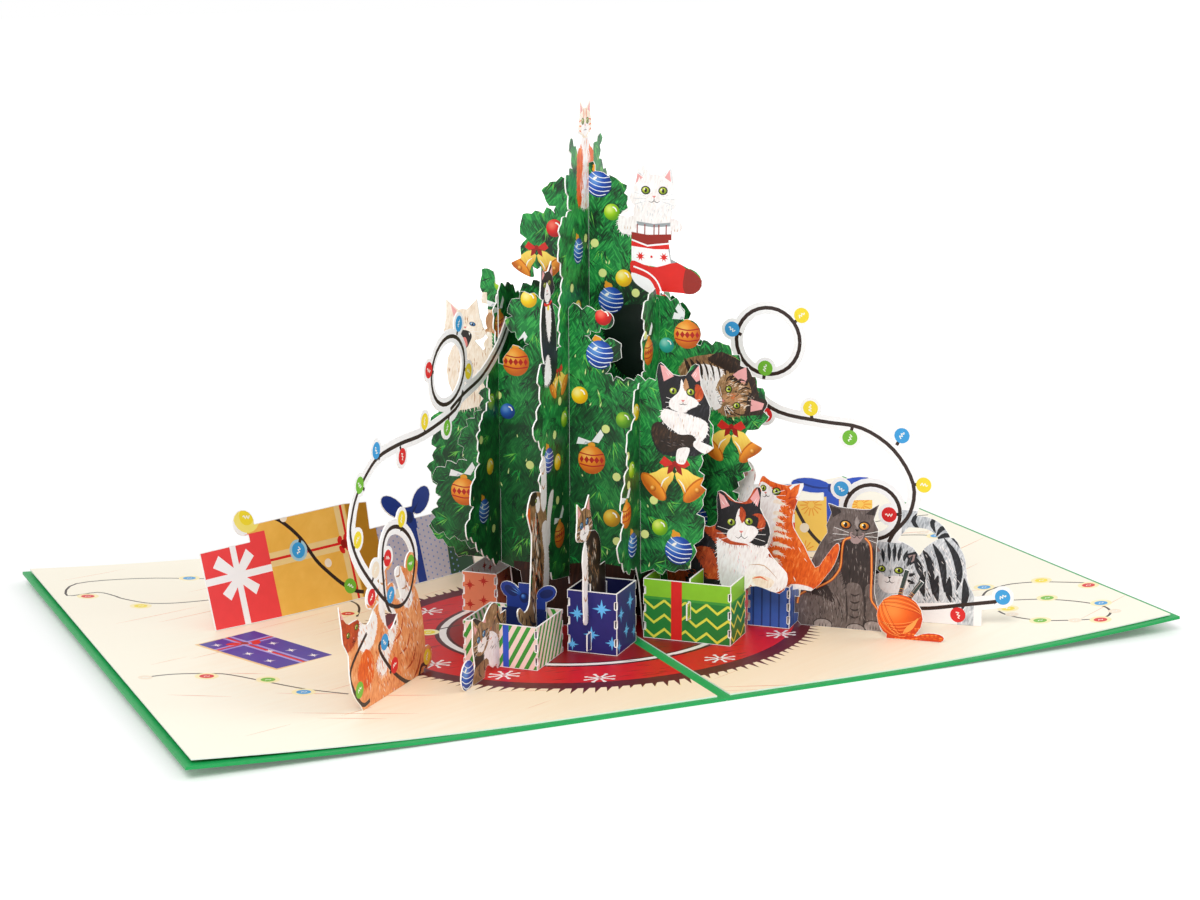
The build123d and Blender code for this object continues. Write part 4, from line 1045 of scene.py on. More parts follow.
def perched_cat_print(p):
    p.coat("black", 34, 84.6, 38.6, 81.8, 43.4, 81.4, 47.8, 84.8, 48, 77, 50.2, 73, 50.4, 66, 50, 60, 46, 57,
        36, 56.6, 32.6, 61, 32.6, 65, 35.6, 66.6, 35.6, 71, 34.4, 78, hair=0.6)
    for points in (pairs(35.1, 83.4, 37, 82.9, 39.3, 80.3, 36.2, 78.6), pairs(44.6, 80.9, 46.8, 83.8, 47.5,
            83, 47.3, 79.6, 46.2, 79)):
        p.shape(points, "ear pink")
    for x, y, a in ((38.6, 80.4, 134), (38, 80, 126), (45, 80.4, 56), (45.6, 80, 64)):
        p.stroke(x, y, a, 2.4, 0.16, "white")
    p.coat("white", 41.6, 79.6, 41.2, 77, 40.6, 75.6, 39.4, 74.4, 38, 73, 38, 71, 39.8, 70, 42, 69.6, 44.6,
        70.2, 46.2, 71.6, 46.9, 73, 45.8, 74, 44.6, 74.6, 43.2, 75.8, 42.6, 77.4, hair=0.5, width=0.2)
    p.coat("tan", 43, 79.9, 42.2, 77.6, 43, 76, 44.1, 76.6, hair=0.6, width=0.2)
    p.coat("rust", 46, 78.2, 47.8, 77.6, 48.4, 75, 47, 73.2, 45.8, 74.6, hair=0.6, width=0.2)
    eye(p, 39.1, 75.9, 1.1, 0.95, tilt=-6)
    eye(p, 44.5, 75.9, 1.1, 0.95, tilt=6)
    nose(p, 42.1, 73.1, 0.62)
    mouth(p, 42.1, 72.8, 1.3, 0.6)
    whiskers(p, 42.1, 72.4, 1.8, 5.4)
    p.coat("white", 36.4, 70.4, 40, 69.8, 43, 69.4, 47, 68.4, 49.6, 67, 49.6, 64, 48, 61.6, 45.8, 60.8, 42.4,
        62, 40, 63.6, 37, 65.6, 35.2, 68, flow=(0, -1))
    fur_dabs(p, 42.6, 66, 5.8, 3.4, -12, -92, "cream, silver, tan, white", 34, 1.7, 0.18)
    p.coat("black", 43.2, 69.8, 46, 71.6, 50, 72.8, 50.4, 70.4, 48.8, 69, 46.6, 68.7, hair=0.9)
    p.coat("tabby dark", 32.4, 64.8, 34.4, 66.4, 36, 65.6, 38.4, 63.8, 41.6, 63, 44.6, 63.2, 46.2, 61.8,
        45.6, 60.2, 43, 59, 39.6, 58, 36, 57.4, 33.4, 60, hair=0.8, flow=(1, -0.4))
    fur_dabs(p, 38.6, 61, 4.4, 1.8, -14, -10, "black, grey, black", 26, 1.7, 0.22)
    p.patch("white", 46, 61.6, 49, 60.9, 51.8, 59.6, 51.6, 57.8, 48.4, 57.9, 45.4, 59.8)
    p.patch("white", 41, 58.9, 44.2, 59.2, 43.4, 56, 42.4, 54.2, 40.2, 54.6, 40.1, 57.4)
    toes(p, 50.2, 57.9, 0.7)
    toes(p, 41.6, 54.5, 0.6)


def tree_u_front_print(p):
    fir_sprigs(p, -40, 52, 14, 104, 6)
    tip_flecks(p, -38, 50, 20, 100, 70)
    p.corners("trunk", -12, 0, 27, 0, 28, 21, 14, 22, 2, 20, -12, 20)
    hang(p, 4.3, ((16.2, 85.2), (40.9, 27.9), (-20.7, 34.6)), 4.3, ((13.5, 53.3, 1), (-10.6, 81.4, 1),
        (-28.2, 40.2, 1)), ((17.4, 96.6, "red glass", 2.6), (9.8, 72.7, "yellow glass", 2.6),
        (-6.2, 100.6, "yellow glass", 2.6), (-13.4, 66.2, "plain blue glass", 2.4), (23.7, 66.1, "dim glass",
        2.5), (35, 34.5, "lime glass", 2.5), (19.8, 36, "gold glass", 2.7)), ((18, 63), (21.4, 48.7),
        (21.4, 29), (33.1, 42.6), (30.3, 32), (-16.6, 70.9), (-6.4, 50.2)))
    bells(p, 39.6, 48.6, 6.6)
    perched_cat_print(p)


def tree_u_back_print(p):
    fir_sprigs(p, -46, 52, 14, 121, 4, 7.4)
    tip_flecks(p, -42, 48, 20, 116, 50)
    p.corners("trunk", -14, 0, 22, 0, 24, 18, 4, 20, -14, 18)
    hang(p, 4.1, ((-28, 36), (30, 68), (6, 106)), 4.1, ((26, 34), (-20, 84), (4, 62)),
        ((-30, 60, "yellow glass"), (36, 50, "red glass"), (14, 88, "lime glass"), (-8, 34, "teal glass"),
        (-8, 92, "plain blue glass")), ((-18, 48), (14, 44), (22, 80), (-14, 70), (0, 24), (40, 36)))


def topper_cat_print(p):
    p.coat("white", -13, 157, -4, 157, -3, 146, -3, 134, -5, 127, -12, 127, -14.4, 134, -14, 146)
    p.coat("ginger", -14.6, 146, -11.6, 145, -10.6, 138, -12, 128, -15.4, 130)
    p.coat("ginger", -2.4, 146, -5.4, 144, -6.2, 137, -5, 129, -2, 131)
    fur_dabs(p, -8.4, 138, 4.6, 10, 0, -88, "ginger, white, cream, apricot", 90, 3.4, 0.4)
    for x, y in ((-11.4, 150), (-5.6, 150), (-8.5, 155.4)):
        fur_dabs(p, x, y, 1.5, 2.2, 0, -88, "ginger, apricot", 10, 1.8, 0.3)
    striped_head(p, -8.5, 151.8, 4.5, 0, coat="cream", dark="ginger")


def climbing_cat_print(p):
    p.coat("black", -44.6, 112, -34, 112.4, -33, 104, -31.6, 92, -33.4, 80, -42, 79, -45.6, 92, -45, 104)
    p.coat("white", -40.8, 102, -37.6, 102, -36.6, 97, -38.2, 91, -40, 95, hair=1.2)
    p.coat("white", -41, 86, -38.6, 87, -37, 80, -42, 79, hair=1.4)
    p.corners("ear pink", -43.4, 109.6, -42.8, 112.6, -41.4, 111)
    p.corners("ear pink", -35.8, 110, -35.6, 112.8, -37.4, 111.4)
    p.coat("white", -39.6, 108.6, -41.6, 105.4, -40.6, 103, -38, 103, -37, 105.2, hair=0.5, width=0.2)
    eye(p, -41.3, 108, 0.85, 0.7)
    eye(p, -37.7, 108.2, 0.85, 0.7)
    nose(p, -39.5, 106, 0.5)
    mouth(p, -39.5, 105.8, 1.2)
    p.line(pairs(-42, 102.6, -39, 101.8, -36, 102.8), 0.8, "ribbon red", 3)
    p.oval(-38.8, 101, 0.8, 0.8, "bulb yellow", 0, 10)
    fur_dabs(p, -42.6, 92, 1.8, 10, 0, -86, "grey, black", 14, 2, 0.2)


def stretching_cat_print(p):
    """Tabby that stands up against the tree and reaches for a ball."""
    p.rows(-70, -40, -2, 20, "tabby")
    p.coat("tabby", -60, 46, -54, 48.6, -48, 49, -43, 44, -41, 36, -40, 24, -41, 8, -44, -2, -66, -2, -66,
        18, -60, 12, -54, 14, -53, 26, -55, 36)
    for x, y, a, b in ((-48.4, 21.4, 2.8, 5), (-50, 38, 2.6, 4)):
        p.coat("ginger", x - a, y, x, y + b, x + a, y, x, y - b)
        p.coat("tabby dark", x - 0.5 * a, y, x, y + 0.6 * b, x + 0.5 * a, y, x, y - 0.6 * b, hair=1.1)
    p.coat("white", -45, 38, -44.6, 33, -43.6, 29, -44, 24, -44.6, 18, -44, 13, -46.4, 6, -44, -2, -40, -2,
        -41, 14, -40, 22, -40.4, 30, -41, 38, hair=1.0)
    p.coat("white", -45.4, 57.6, -42.4, 57.6, -41.4, 52, -41.6, 44, -44, 41.6, -46, 45, -45.6, 51, hair=0.6)
    p.coat("white", -36, 46.4, -37, 42, -38.6, 37.6, -39, 31.4, -41.4, 31, -41.6, 36, -40.6, 42.4, -38.6, 46,
        hair=0.6)
    bars_across(p, pairs(-44.2, 55.4, -43.6, 50, -44, 44.6), 3, 0.6, "tan")
    bars_across(p, pairs(-52, 32, -50, 26, -50.6, 16, -53, 8), 8, 1.1, "tabby dark")
    p.corners("ginger", -59.2, 43.6, -56.6, 45.4, -54, 45, -54.2, 40, -56.4, 38.2)
    p.coat("tabby dark", -54.4, 46.6, -52, 49, -49.6, 49, -48.6, 46.8, -51, 45, hair=0.7)
    p.coat("white", -49.8, 46.4, -47.4, 47, -46.6, 43.6, -49, 42.4, hair=0.8)
    eye(p, -49.6, 46.2, 0.6, 0.5)
    fur_dabs(p, -50.6, 28, 4.6, 16, 0, -86, "tabby dark, tan, cream, tabby dark, tabby dark", 130, 5.2, 0.8)
    bars_across(p, pairs(-64, 16.4, -62, 13.6, -57.6, 11.6, -54, 12.6), 3.4, 0.8, "tabby dark")
    toes(p, -43.6, 56, 0.6, -90)


def tree_v_centre_print(p):
    fir_sprigs(p, -52, 44, 14, 148, -6)
    tip_flecks(p, -50, 40, 20, 144, 80)
    p.corners("trunk", -24, 0, 12, 0, 13, 18, 0, 20, -14, 18, -24, 19)
    for x, y in ((-14.6, 114.3), (-39.6, 56), (22, 64)):
        striped_ball(p, x, y, 3.8)
    for x, y in ((-31.4, 31.6), (18, 40), (10, 100)):
        banded_ball(p, x, y, 3.9)
    for x, y, ink in ((-15.2, 97.2, "yellow glass"), (-32.5, 54.1, "yellow glass"), (30, 50, "red glass"),
            (18, 84, "lime glass"), (2, 120, "red glass"), (-27, 66, "lime glass")):
        plain_ball(p, x, y, ink, 2.5)
    for x, y in ((-8.6, 117.4), (-34.7, 62.7), (-32.8, 42.6), (-20, 104), (12, 70), (6, 56), (26, 30),
            (-30.4, 72)):
        glow_dot(p, x, y)
    bells(p, -31.2, 77.6, 4.6)
    topper_cat_print(p)
    climbing_cat_print(p)
    stretching_cat_print(p)


def side_tree_print(left, right, high, centre, striped, banded, plain, dots):
    p = Print()
    fir_sprigs(p, left, right, 14, high, centre)
    tip_flecks(p, left, right, 20, high, 60)
    p.corners("trunk", -24, 0, 10, 0, 11, 19, -8, 20, -24, 18)
    for x, y in striped:
        striped_ball(p, x, y, 3.8)
    for x, y in banded:
        banded_ball(p, x, y, 3.9)
    for x, y, ink in plain:
        plain_ball(p, x, y, ink, 2.5)
    for x, y in dots:
        glow_dot(p, x, y)
    return p


def dress_tree():
    printed_sheet("tree_u_centre", u_plate(V_MID), printed(tree_u_centre_print), "fir")
    printed_sheet("tree_u_front", u_plate(V_FRONT), printed(tree_u_front_print), "fir")
    printed_sheet("tree_u_back", u_plate(V_BACK), printed(tree_u_back_print), "fir")
    printed_sheet("tree_v_centre", v_plate(U_MID), printed(tree_v_centre_print), "fir")
    left = side_tree_print(-50, 34, 104, -8, [(-35.6, 37.9), (18, 58)], [(20, 34), (-22, 92)],
        [(-30.6, 50.6, "yellow glass"), (16, 78, "red glass"), (-29, 70, "lime glass")],
        [(-28.6, 31), (10, 46), (4, 88), (-37, 60)])
    printed_sheet("tree_v_left", v_plate(U_LEFT), left, "fir")
    right = side_tree_print(-44, 32, 104, -8, [(16, 60), (-29.8, 30)], [(-15.8, 85.5), (18, 36),
        (-35.0, 40.4)], [(-26.6, 69.5, "yellow glass"), (10, 78, "red glass"), (-30.4, 53, "lime glass")],
        [(-33.6, 57.8), (-18.6, 91), (6, 48), (20, 48), (-33, 49)])
    printed_sheet("tree_v_right", v_plate(U_RIGHT), right, "fir")


# Figures that stand by themselves

def lying_cat_print(p):
    p.coat("black", 38, 36, 46, 32, 51, 26, 51, 18, 40, 16, 36, 22, hair=1.2, flow=(1, -0.5))
    p.coat("rust", 42.2, 26, 45.6, 27.4, 48, 26.8, 49.6, 23.8, 51, 19, 52, 16, 47, 17, 45, 22, hair=1.6,
        flow=(1, -0.6))
    p.coat("rust", 32, 23, 36, 21.4, 39.8, 20.4, 40.6, 15, 32, 15, hair=1.6, flow=(1, -0.3))
    fur_dabs(p, 45, 23, 6, 5, 0, -38, "black, rust, rust, black", 60, 2, 0.24)
    p.rows(40, 58, -1, 17.6, "black")
    p.coat("white", 50.2, 30.6, 54.6, 30, 59, 29.8, 62.4, 30, 66.4, 31.6, 66.4, 28, 65.4, 26, 64.4, 24.4,
        61.4, 22.6, 60.6, 18, 58.6, 15, 52, 15, 50.4, 20.6, 50, 25)
    fur_dabs(p, 57.4, 25, 6, 5, 0, -88, "cream, silver, ear pink, white, white", 56, 1.8, 0.16)
    p.coat("black", 47, 42, 49.6, 48, 53.6, 42.4, 60.6, 42, 62.4, 48, 64.6, 41, 66.6, 36, 67, 32, 64.6, 29.4,
        62, 29.2, 58.8, 30.4, 50, 32.4, 49.6, 36, hair=0.9)
    p.corners("ear pink", 50.3, 44.4, 52, 43.4, 53.8, 40.6, 51.2, 39.4)
    p.corners("ear pink", 60.1, 43.2, 62.3, 46.6, 63.1, 43.8, 62.4, 41)
    for x, y, a in ((52.4, 40.4, 128), (53.2, 40.8, 118), (61, 41.6, 60), (61.6, 41, 68)):
        p.stroke(x, y, a, 2.8, 0.18, "white")
    p.coat("white", 56.8, 40, 56, 38.4, 55.6, 36.6, 55, 34.4, 53.4, 33, 53, 31, 54.6, 29.8, 57, 29.4, 59.8,
        29.8, 61.6, 31.6, 62.7, 33.4, 61.6, 34.8, 60, 35.2, 58.6, 36.4, 57.6, 38.4, hair=0.5, width=0.2)
    p.coat("rust", 57.2, 40.6, 56.8, 38, 57.4, 36, 58.4, 36.4, 58.7, 39, hair=0.8, width=0.22)
    p.coat("rust", 61.2, 38.6, 62.8, 37.4, 62.4, 35, 63.6, 34, 64.9, 36, 63.7, 38.8, hair=0.8, width=0.22)
    p.coat("rust", 49, 33, 51, 32.4, 54, 30, 59, 29.4, 58.6, 28.9, 54, 28.8, 50.4, 30.4, hair=1.6, width=0.18)
    eye(p, 54.3, 35.6, 1.15, 1, tilt=-8)
    eye(p, 59.8, 36.3, 1.15, 1, tilt=12)
    nose(p, 57.4, 32.9, 0.7)
    mouth(p, 57.4, 32.6, 2.1, 0.8, 2)
    whiskers(p, 57.4, 32.3, 2.4, 7.6, 3)
    p.patch("white", 59.6, 24, 63, 24.4, 66, 26, 68.6, 24.6, 71.2, 22.2, 72.4, 20.2, 71.4, 17.4, 68.6, 15.4,
        65.2, 15, 61, 16.6, 59, 18.6)
    p.patch("cream", 61, 19.4, 64.6, 20, 67.8, 18.6, 66, 16.4, 62, 17)
    p.draw(0.28, "tan", 59.8, 23, 64.6, 23.2, 68.8, 19.4)
    p.draw(0.5, "ginger", 61, 18.9, 63.4, 19.6, 65.8, 18.6)
    toes(p, 69.4, 15.8, 0.9, 76)


def reaching_cat_print(p):
    p.rows(54, 90, -1, 54, "ginger")
    p.coat("white", 59.4, 45.4, 61.6, 44.8, 63.4, 43, 64.4, 41, 65.8, 40, 65.2, 37, 64.2, 33, 62.4, 26, 59,
        24, 58, 32, 58.6, 39, 59, 42)
    for k in range(8):
        y, reach = 39.4 - 2.6 * k + chance.uniform(-0.6, 0.6), chance.uniform(1.2, 4.4)
        p.coat("cream", 63.2, y, 64.6, y + 0.7, 64.8 + reach, y - 0.9, 64.2, y - 0.5, hair=1.2,
            flow=(0.9, -0.7), width=0.2)
    p.coat("ginger dark", 68.6, 40, 70.6, 41, 71.6, 38, 70, 36.6, hair=1.0)
    fur_dabs(p, 69, 28, 5, 12, 0, -60, "ginger dark, ginger, ginger, cream", 66, 2, 0.26)
    bars_across(p, pairs(76.2, 20.6, 80, 23, 84.4, 29.4), 4.4, 0.9, "ginger dark")
    p.coat("white", 69.4, 14.6, 75.8, 14, 75, 11, 69, 11)
    p.coat("white", 50, 40, 50.6, 50, 52.6, 52.6, 55.6, 52.6, 57.8, 50, 57.4, 44, 58, 39.6, 54, 39, hair=0.8)
    p.draw(0.9, "rust", 58.2, 51, 57.8, 46, 58.6, 41)
    for x, y, a, b in ((52.8, 49.3, 0.5, 0.55), (54, 50.2, 0.5, 0.6), (55.4, 50, 0.5, 0.6),
            (56.6, 48.9, 0.45, 0.5), (54.3, 47.6, 1.1, 0.85)):
        p.oval(x, y, a, b, "ear pink", 0, 10)
    fur_dabs(p, 54.4, 43.4, 2, 2.6, 0, -88, "cream, silver", 12, 1.6, 0.18)
    p.corners("ginger", 59.2, 46, 60.2, 48.6, 62.6, 46)
    p.corners("white", 68.2, 44.4, 70, 46, 73, 47.6, 72.2, 43, 70.8, 40.6)
    p.corners("ginger", 68.6, 43.6, 70, 45, 71.6, 45.8, 71, 42.8, 70, 41)
    for x, y in ((64, 45.6), (65.6, 45.2), (67, 44.4)):
        p.draw(0.6, "ginger dark", x, y, x + 0.4, y - 1.2, x + 0.3, y - 2.4)
    for y in (41.6, 40, 38.4):
        p.draw(0.6, "ginger dark", 70.8, y, 69, y - 0.2, 67.4, y - 1)
    eye(p, 60.2, 43.6, 0.75, 0.75, tilt=-10)
    eye(p, 64.3, 42.9, 1.1, 0.9, tilt=14)
    nose(p, 60.9, 42.2, 0.5)
    mouth(p, 61, 42, 1.3, 0.8, 8)
    whiskers(p, 61.2, 41.4, 2.2, 6, 4)


def sitting_cat_print(p):
    p.rows(60, 110, -1, 50, "grey")
    p.coat("grey dark", 83, 27, 86, 29, 92, 28, 95, 24, 94, 12, 92, 3, 88, 2, 86, 12, 83.6, 20, hair=1.6)
    p.coat("grey dark", 71, 13.6, 76, 15.6, 80, 14, 82, 9, 79, 10.6, 74, 11.6, hair=1.0)
    fur_dabs(p, 86, 17, 8, 12, 4, -84, "grey dark, grey light, grey dark", 90, 2, 0.18)
    fur_dabs(p, 77, 8, 5.6, 5.6, 0, -66, "grey dark, grey light", 40, 1.8, 0.18)
    p.draw(0.6, "grey dark", 82.8, 20, 80, 15.8, 74.6, 15, 71.4, 10)
    p.draw(0.5, "grey dark", 82, 12, 84.2, 7, 84, 2.4)
    for k in range(6):
        p.draw(0.6, "grey dark", 86.4, 17 - 2.6 * k, 88.6, 16 - 2.6 * k, 91, 17 - 2.6 * k)
    p.coat("grey", 85.6, 15, 88, 16, 90.4, 14, 90.8, 3, 86.4, 2.6, 86, 9, hair=0.7)
    p.coat("grey", 91.4, 15, 94, 16, 95.2, 12, 95.6, 4, 92, 3.6, 91.8, 9, hair=0.7)
    p.draws(0.5, "grey dark", (91, 15, 91.2, 9, 91.2, 3), (85.4, 14, 85.8, 8, 85.8, 3))
    for k in range(4):
        p.draw(0.6, "grey dark", 86.6, 12.6 - 2.3 * k, 88.2, 12 - 2.3 * k, 89.8, 12.8 - 2.3 * k)
    for x, y, a, b in ((90, 22, 4.4, 8), (81, 8, 4, 6), (89, 8, 5.6, 6)):
        fur_dabs(p, x, y, a, b, 0, -84, "grey dark, grey light, grey", 46, 2, 0.2)
    for x, y in ((78.4, 1.4), (88.6, 0.8), (94, 2.2)):
        p.oval(x, y + 0.7, 3.1, 2, "grey dark", 0, 14)
        p.oval(x, y + 0.7, 2.8, 1.7, "grey light", 0, 14)
        for k in (-1, 0, 1):
            p.stroke(x + 0.9 * k, y - 0.4, 90, 1.7, 0.3, "grey dark")
    for points in (pairs(80, 39.2, 83, 38.4, 83.6, 37.4, 81, 35.6), pairs(91, 37.4, 92.6, 38.8, 94.4, 40.2,
            93.8, 37.2)):
        p.shape(points, "grey dark")
    p.coat("grey light", 87.7, 34.5, 88.4, 36.4, 89.2, 34.6, 88.7, 33, hair=0.9, width=0.14)
    fur_dabs(p, 88, 37.4, 4.4, 1.8, 0, 86, "grey light, grey dark", 20, 1.5, 0.16)
    fur_dabs(p, 82.6, 30, 1.8, 2.6, 0, 200, "grey dark, grey light", 14, 1.5, 0.18)
    fur_dabs(p, 93.6, 30, 1.6, 2.6, 0, -20, "grey dark, grey light", 14, 1.5, 0.18)
    p.coat("muzzle grey", 86.6, 31.6, 88.4, 31.2, 90.6, 31.6, 90.2, 29.8, 88.8, 28.2, 87, 28.4, 86.4, 30,
        hair=0.5, width=0.2)
    p.coat("grey", 87, 31.4, 90.2, 31.4, 89.6, 30.6, 87.4, 30.6, hair=0.4, width=0.2)
    for x, side in ((85, -1), (90.7, 1)):
        p.oval(x, 33.7, 1.9, 1.5, "grey dark", 6 * side, 14)
        eye(p, x, 33.7, 1.4, 1.05, "iris amber", 6 * side)
    nose(p, 88.5, 32.2, 0.7, "fine dark")
    mouth(p, 88.5, 31.6, 1.9, 0.9)
    whiskers(p, 88.5, 30.6, 2.6, 7.4)
    for points in (pairs(86.6, 29.9, 84.6, 28.8, 84, 25.6, 83.6, 20.6, 82, 17.6, 80, 15.6, 76, 13.2),
            pairs(73, 12, 71, 10.6, 70.4, 8), pairs(91, 30.1, 92.8, 27.6, 93.2, 20, 93.2, 12, 94.4, 9.6,
            96.6, 6.8)):
        p.line(points, 0.75, "yarn dark", 4)
        p.line(points, 0.4, "yarn line", 4)


def star_kitten_print(p):
    p.coat("tabby dark", -60, 48, -44, 48, -34, 30, -34, -2, -54, -2, -56, 30)
    p.coat("white", -55, 35.6, -51, 35.8, -49.4, 28, -50, 10, -54, 10, -55, 24, hair=1.2)
    fur_dabs(p, -45.4, 28, 5.6, 8, 0, -78, "tabby, tan, tabby dark, cream", 70, 2.4, 0.3)
    bars_across(p, pairs(-51.2, 28, -51.2, 20, -50.8, 13), 3.2, 0.7, "tan")
    p.rows(-50.8, -46.4, -1, 9, "box violet")
    striped_head(p, -52, 41, 5.2, 5, "iris blue", "tabby")


def bauble_kitten_print(p):
    p.coat("tabby dark", -90, 22, -78, 24, -60, 20, -60, -2, -90, -2)
    p.coat("tabby", -80, 20, -72, 21, -62, 18, -62, 8, -74, 8, hair=1.4, flow=(-1, -0.5))
    bars_across(p, pairs(-62.5, 15, -68, 17.4, -74, 15), 8, 1.1, "tabby dark")
    p.coat("white", -78.4, 13, -74, 13.6, -69.4, 10, -69, 2, -78, 1, -79.6, 7, hair=1.2)
    fur_dabs(p, -70, 14, 7.4, 5.8, 0, -150, "tabby dark, tan, ginger, cream", 50, 2, 0.26)
    p.coat("tabby", -88, 5, -78, 6.8, -77, 2.6, -87, 0.6, hair=0.7)
    bars_across(p, pairs(-78, 5, -82, 4.2, -87, 3), 4.2, 0.7, "tabby dark")
    striped_head(p, -81.4, 13.6, 4.7, 12, "iris blue")
    striped_ball(p, -91.2, 5.5, 4.3)


def bow_print(p):
    p.rows(-8, 13, -1, 14, "bow navy dark")
    p.rows(0.8, 4.4, -1, 21.4, "bow navy")
    for x, y in ((-1.6, 18.8), (9.6, 18.8)):
        lean = degrees(atan2(y - 16, x - 2.6))
        p.oval(x, y, 2.3, 1.3, "bow navy dark", lean, 14)
        for k in (-1, 0, 1):
            p.stroke(2.8, 17.2, lean + 12 * k, 5.4, 0.34, "plain blue glass")
    p.oval(2.6, 17, 1.5, 1.6, "bow navy dark", 0, 12)
    p.oval(2.4, 17.3, 0.8, 0.8, "plain blue glass", 0, 10)


def yarn_print(p):
    p.rows(100, 114, 12, 26, "needle steel")
    for line in (pairs(103.2, 13, 106.4, 24), pairs(104.6, 13, 110, 20.6)):
        p.line(line, 0.26, "grey light", 1)
    p.oval(103.4, 8.3, 7, 7, "yarn", 0, 30)
    for k in range(10):
        p.ring(103.4, 10.4, 6.6, 0.9 + 0.66 * k, 0.14, "yarn line" if k % 2 else "yarn dark", -8, 15, 165)
        p.ring(103.4, 8.4, 6.5 - 0.3 * k, 2.0 + 0.5 * k, 0.14, "yarn dark" if k % 2 else "yarn line", 10,
            195, 345)
    for k in range(7):
        p.ring(101.6, 8.6, 1.2 + 0.72 * k, 6.2, 0.13, "yarn line" if k % 2 else "yarn dark", 28, 100, 250)
    p.patch("yarn line", 104.6, 3.4, 107.4, 5.2, 109, 8.6, 107.6, 7.4, 105.4, 5.4)
    for line in (pairs(108, 5, 113, 5.4, 117, 4.6), pairs(102, 1.6, 107, 1.6, 112, 3, 118, 2.6),
            pairs(105, 3.4, 110, 3.2, 115, 3.6)):
        p.line(line, 1.1, "yarn")
        p.line(line, 0.2, "yarn dark", 3)


# Planes that the figures stand on
LYING_V = ZIGZAG_BOX[3] - SHEET - 1.2
REACHING_V, SITTING_V, YARN_V, BOW_V = -1.4, 1.6, -4.0, -50.2
STAR_KITTEN_U, BAUBLE_KITTEN_U, BRACE_U = 22.0, 2.2, 45.6


def dress_figures():
    printed_sheet("lying_cat", u_plate(LYING_V), printed(lying_cat_print), "rust")
    printed_sheet("reaching_cat", u_plate(REACHING_V), printed(reaching_cat_print), "ginger")
    printed_sheet("sitting_cat", u_plate(SITTING_V), printed(sitting_cat_print), "grey")
    printed_sheet("star_box_kitten", v_plate(STAR_KITTEN_U), printed(star_kitten_print), "tabby")
    printed_sheet("bauble_kitten", v_plate(BAUBLE_KITTEN_U), printed(bauble_kitten_print), "tabby")
    rib = Print()
    rib.rows(-40, -26.8, 0, 40, "zigzag yellow")
    rib.rows(-40, -27.0, 9.6, 12.6, "lid lime")
    printed_sheet("zigzag_box_brace", v_plate(BRACE_U), rib, "lid lime", 0.2)
    printed_sheet("striped_box_bow", u_plate(BOW_V), printed(bow_print), "bow navy")
    printed_sheet("yarn_ball", u_plate(YARN_V), printed(yarn_print), "yarn")


# Light strings: a printed cord with bulbs on a white margin

CORD = 1.15
BULB = 2.35


def printed_bulb(p, x, y, colour, cap, r=BULB):
    """Bulb with its squiggle of filament and a dark cap towards the cord."""
    far = hypot(cap[0] - x, cap[1] - y) or 1
    away = ((cap[0] - x) / far, (cap[1] - y) / far)
    p.line([(x + away[0] * r * 0.9, y + away[1] * r * 0.9), (x + away[0] * r * 1.45,
        y + away[1] * r * 1.45)], 0.42 * r, "cord brown", 1)
    p.oval(x, y, r, r, "bulb " + colour, 0, 20)
    wiggle = [(-0.42, -0.1), (-0.2, 0.26), (-0.05, -0.12), (0.16, 0.22), (0.32, -0.14), (0.5, 0.02)]
    lean = degrees(atan2(away[1], away[0])) + 180
    c, s = cos(radians(lean)), sin(radians(lean))
    p.line([(x + r * (c * a - s * b), y + r * (s * a + c * b)) for a, b in wiggle], 0.13 * r, "glint", 2)


def nearest(point, line):
    return min(line, key=lambda q: hypot(q[0] - point[0], q[1] - point[1]))


def ellipse_line(x, y, a, b, tilt=0, count=30):
    c, s = cos(radians(tilt)), sin(radians(tilt))
    turns = [2 * pi * k / count for k in range(count + 1)]
    return [(x + c * a * cos(t) - s * b * sin(t), y + s * a * cos(t) + c * b * sin(t)) for t in turns]


def cord_print(p, runs, bulbs):
    line = []
    for run, closed in runs:
        path = run if closed else smooth(run, 4)
        p.line(path, CORD, "cord brown", 1)
        line += path
    for x, y, colour in bulbs:
        printed_bulb(p, x, y, colour, nearest((x, y), line))


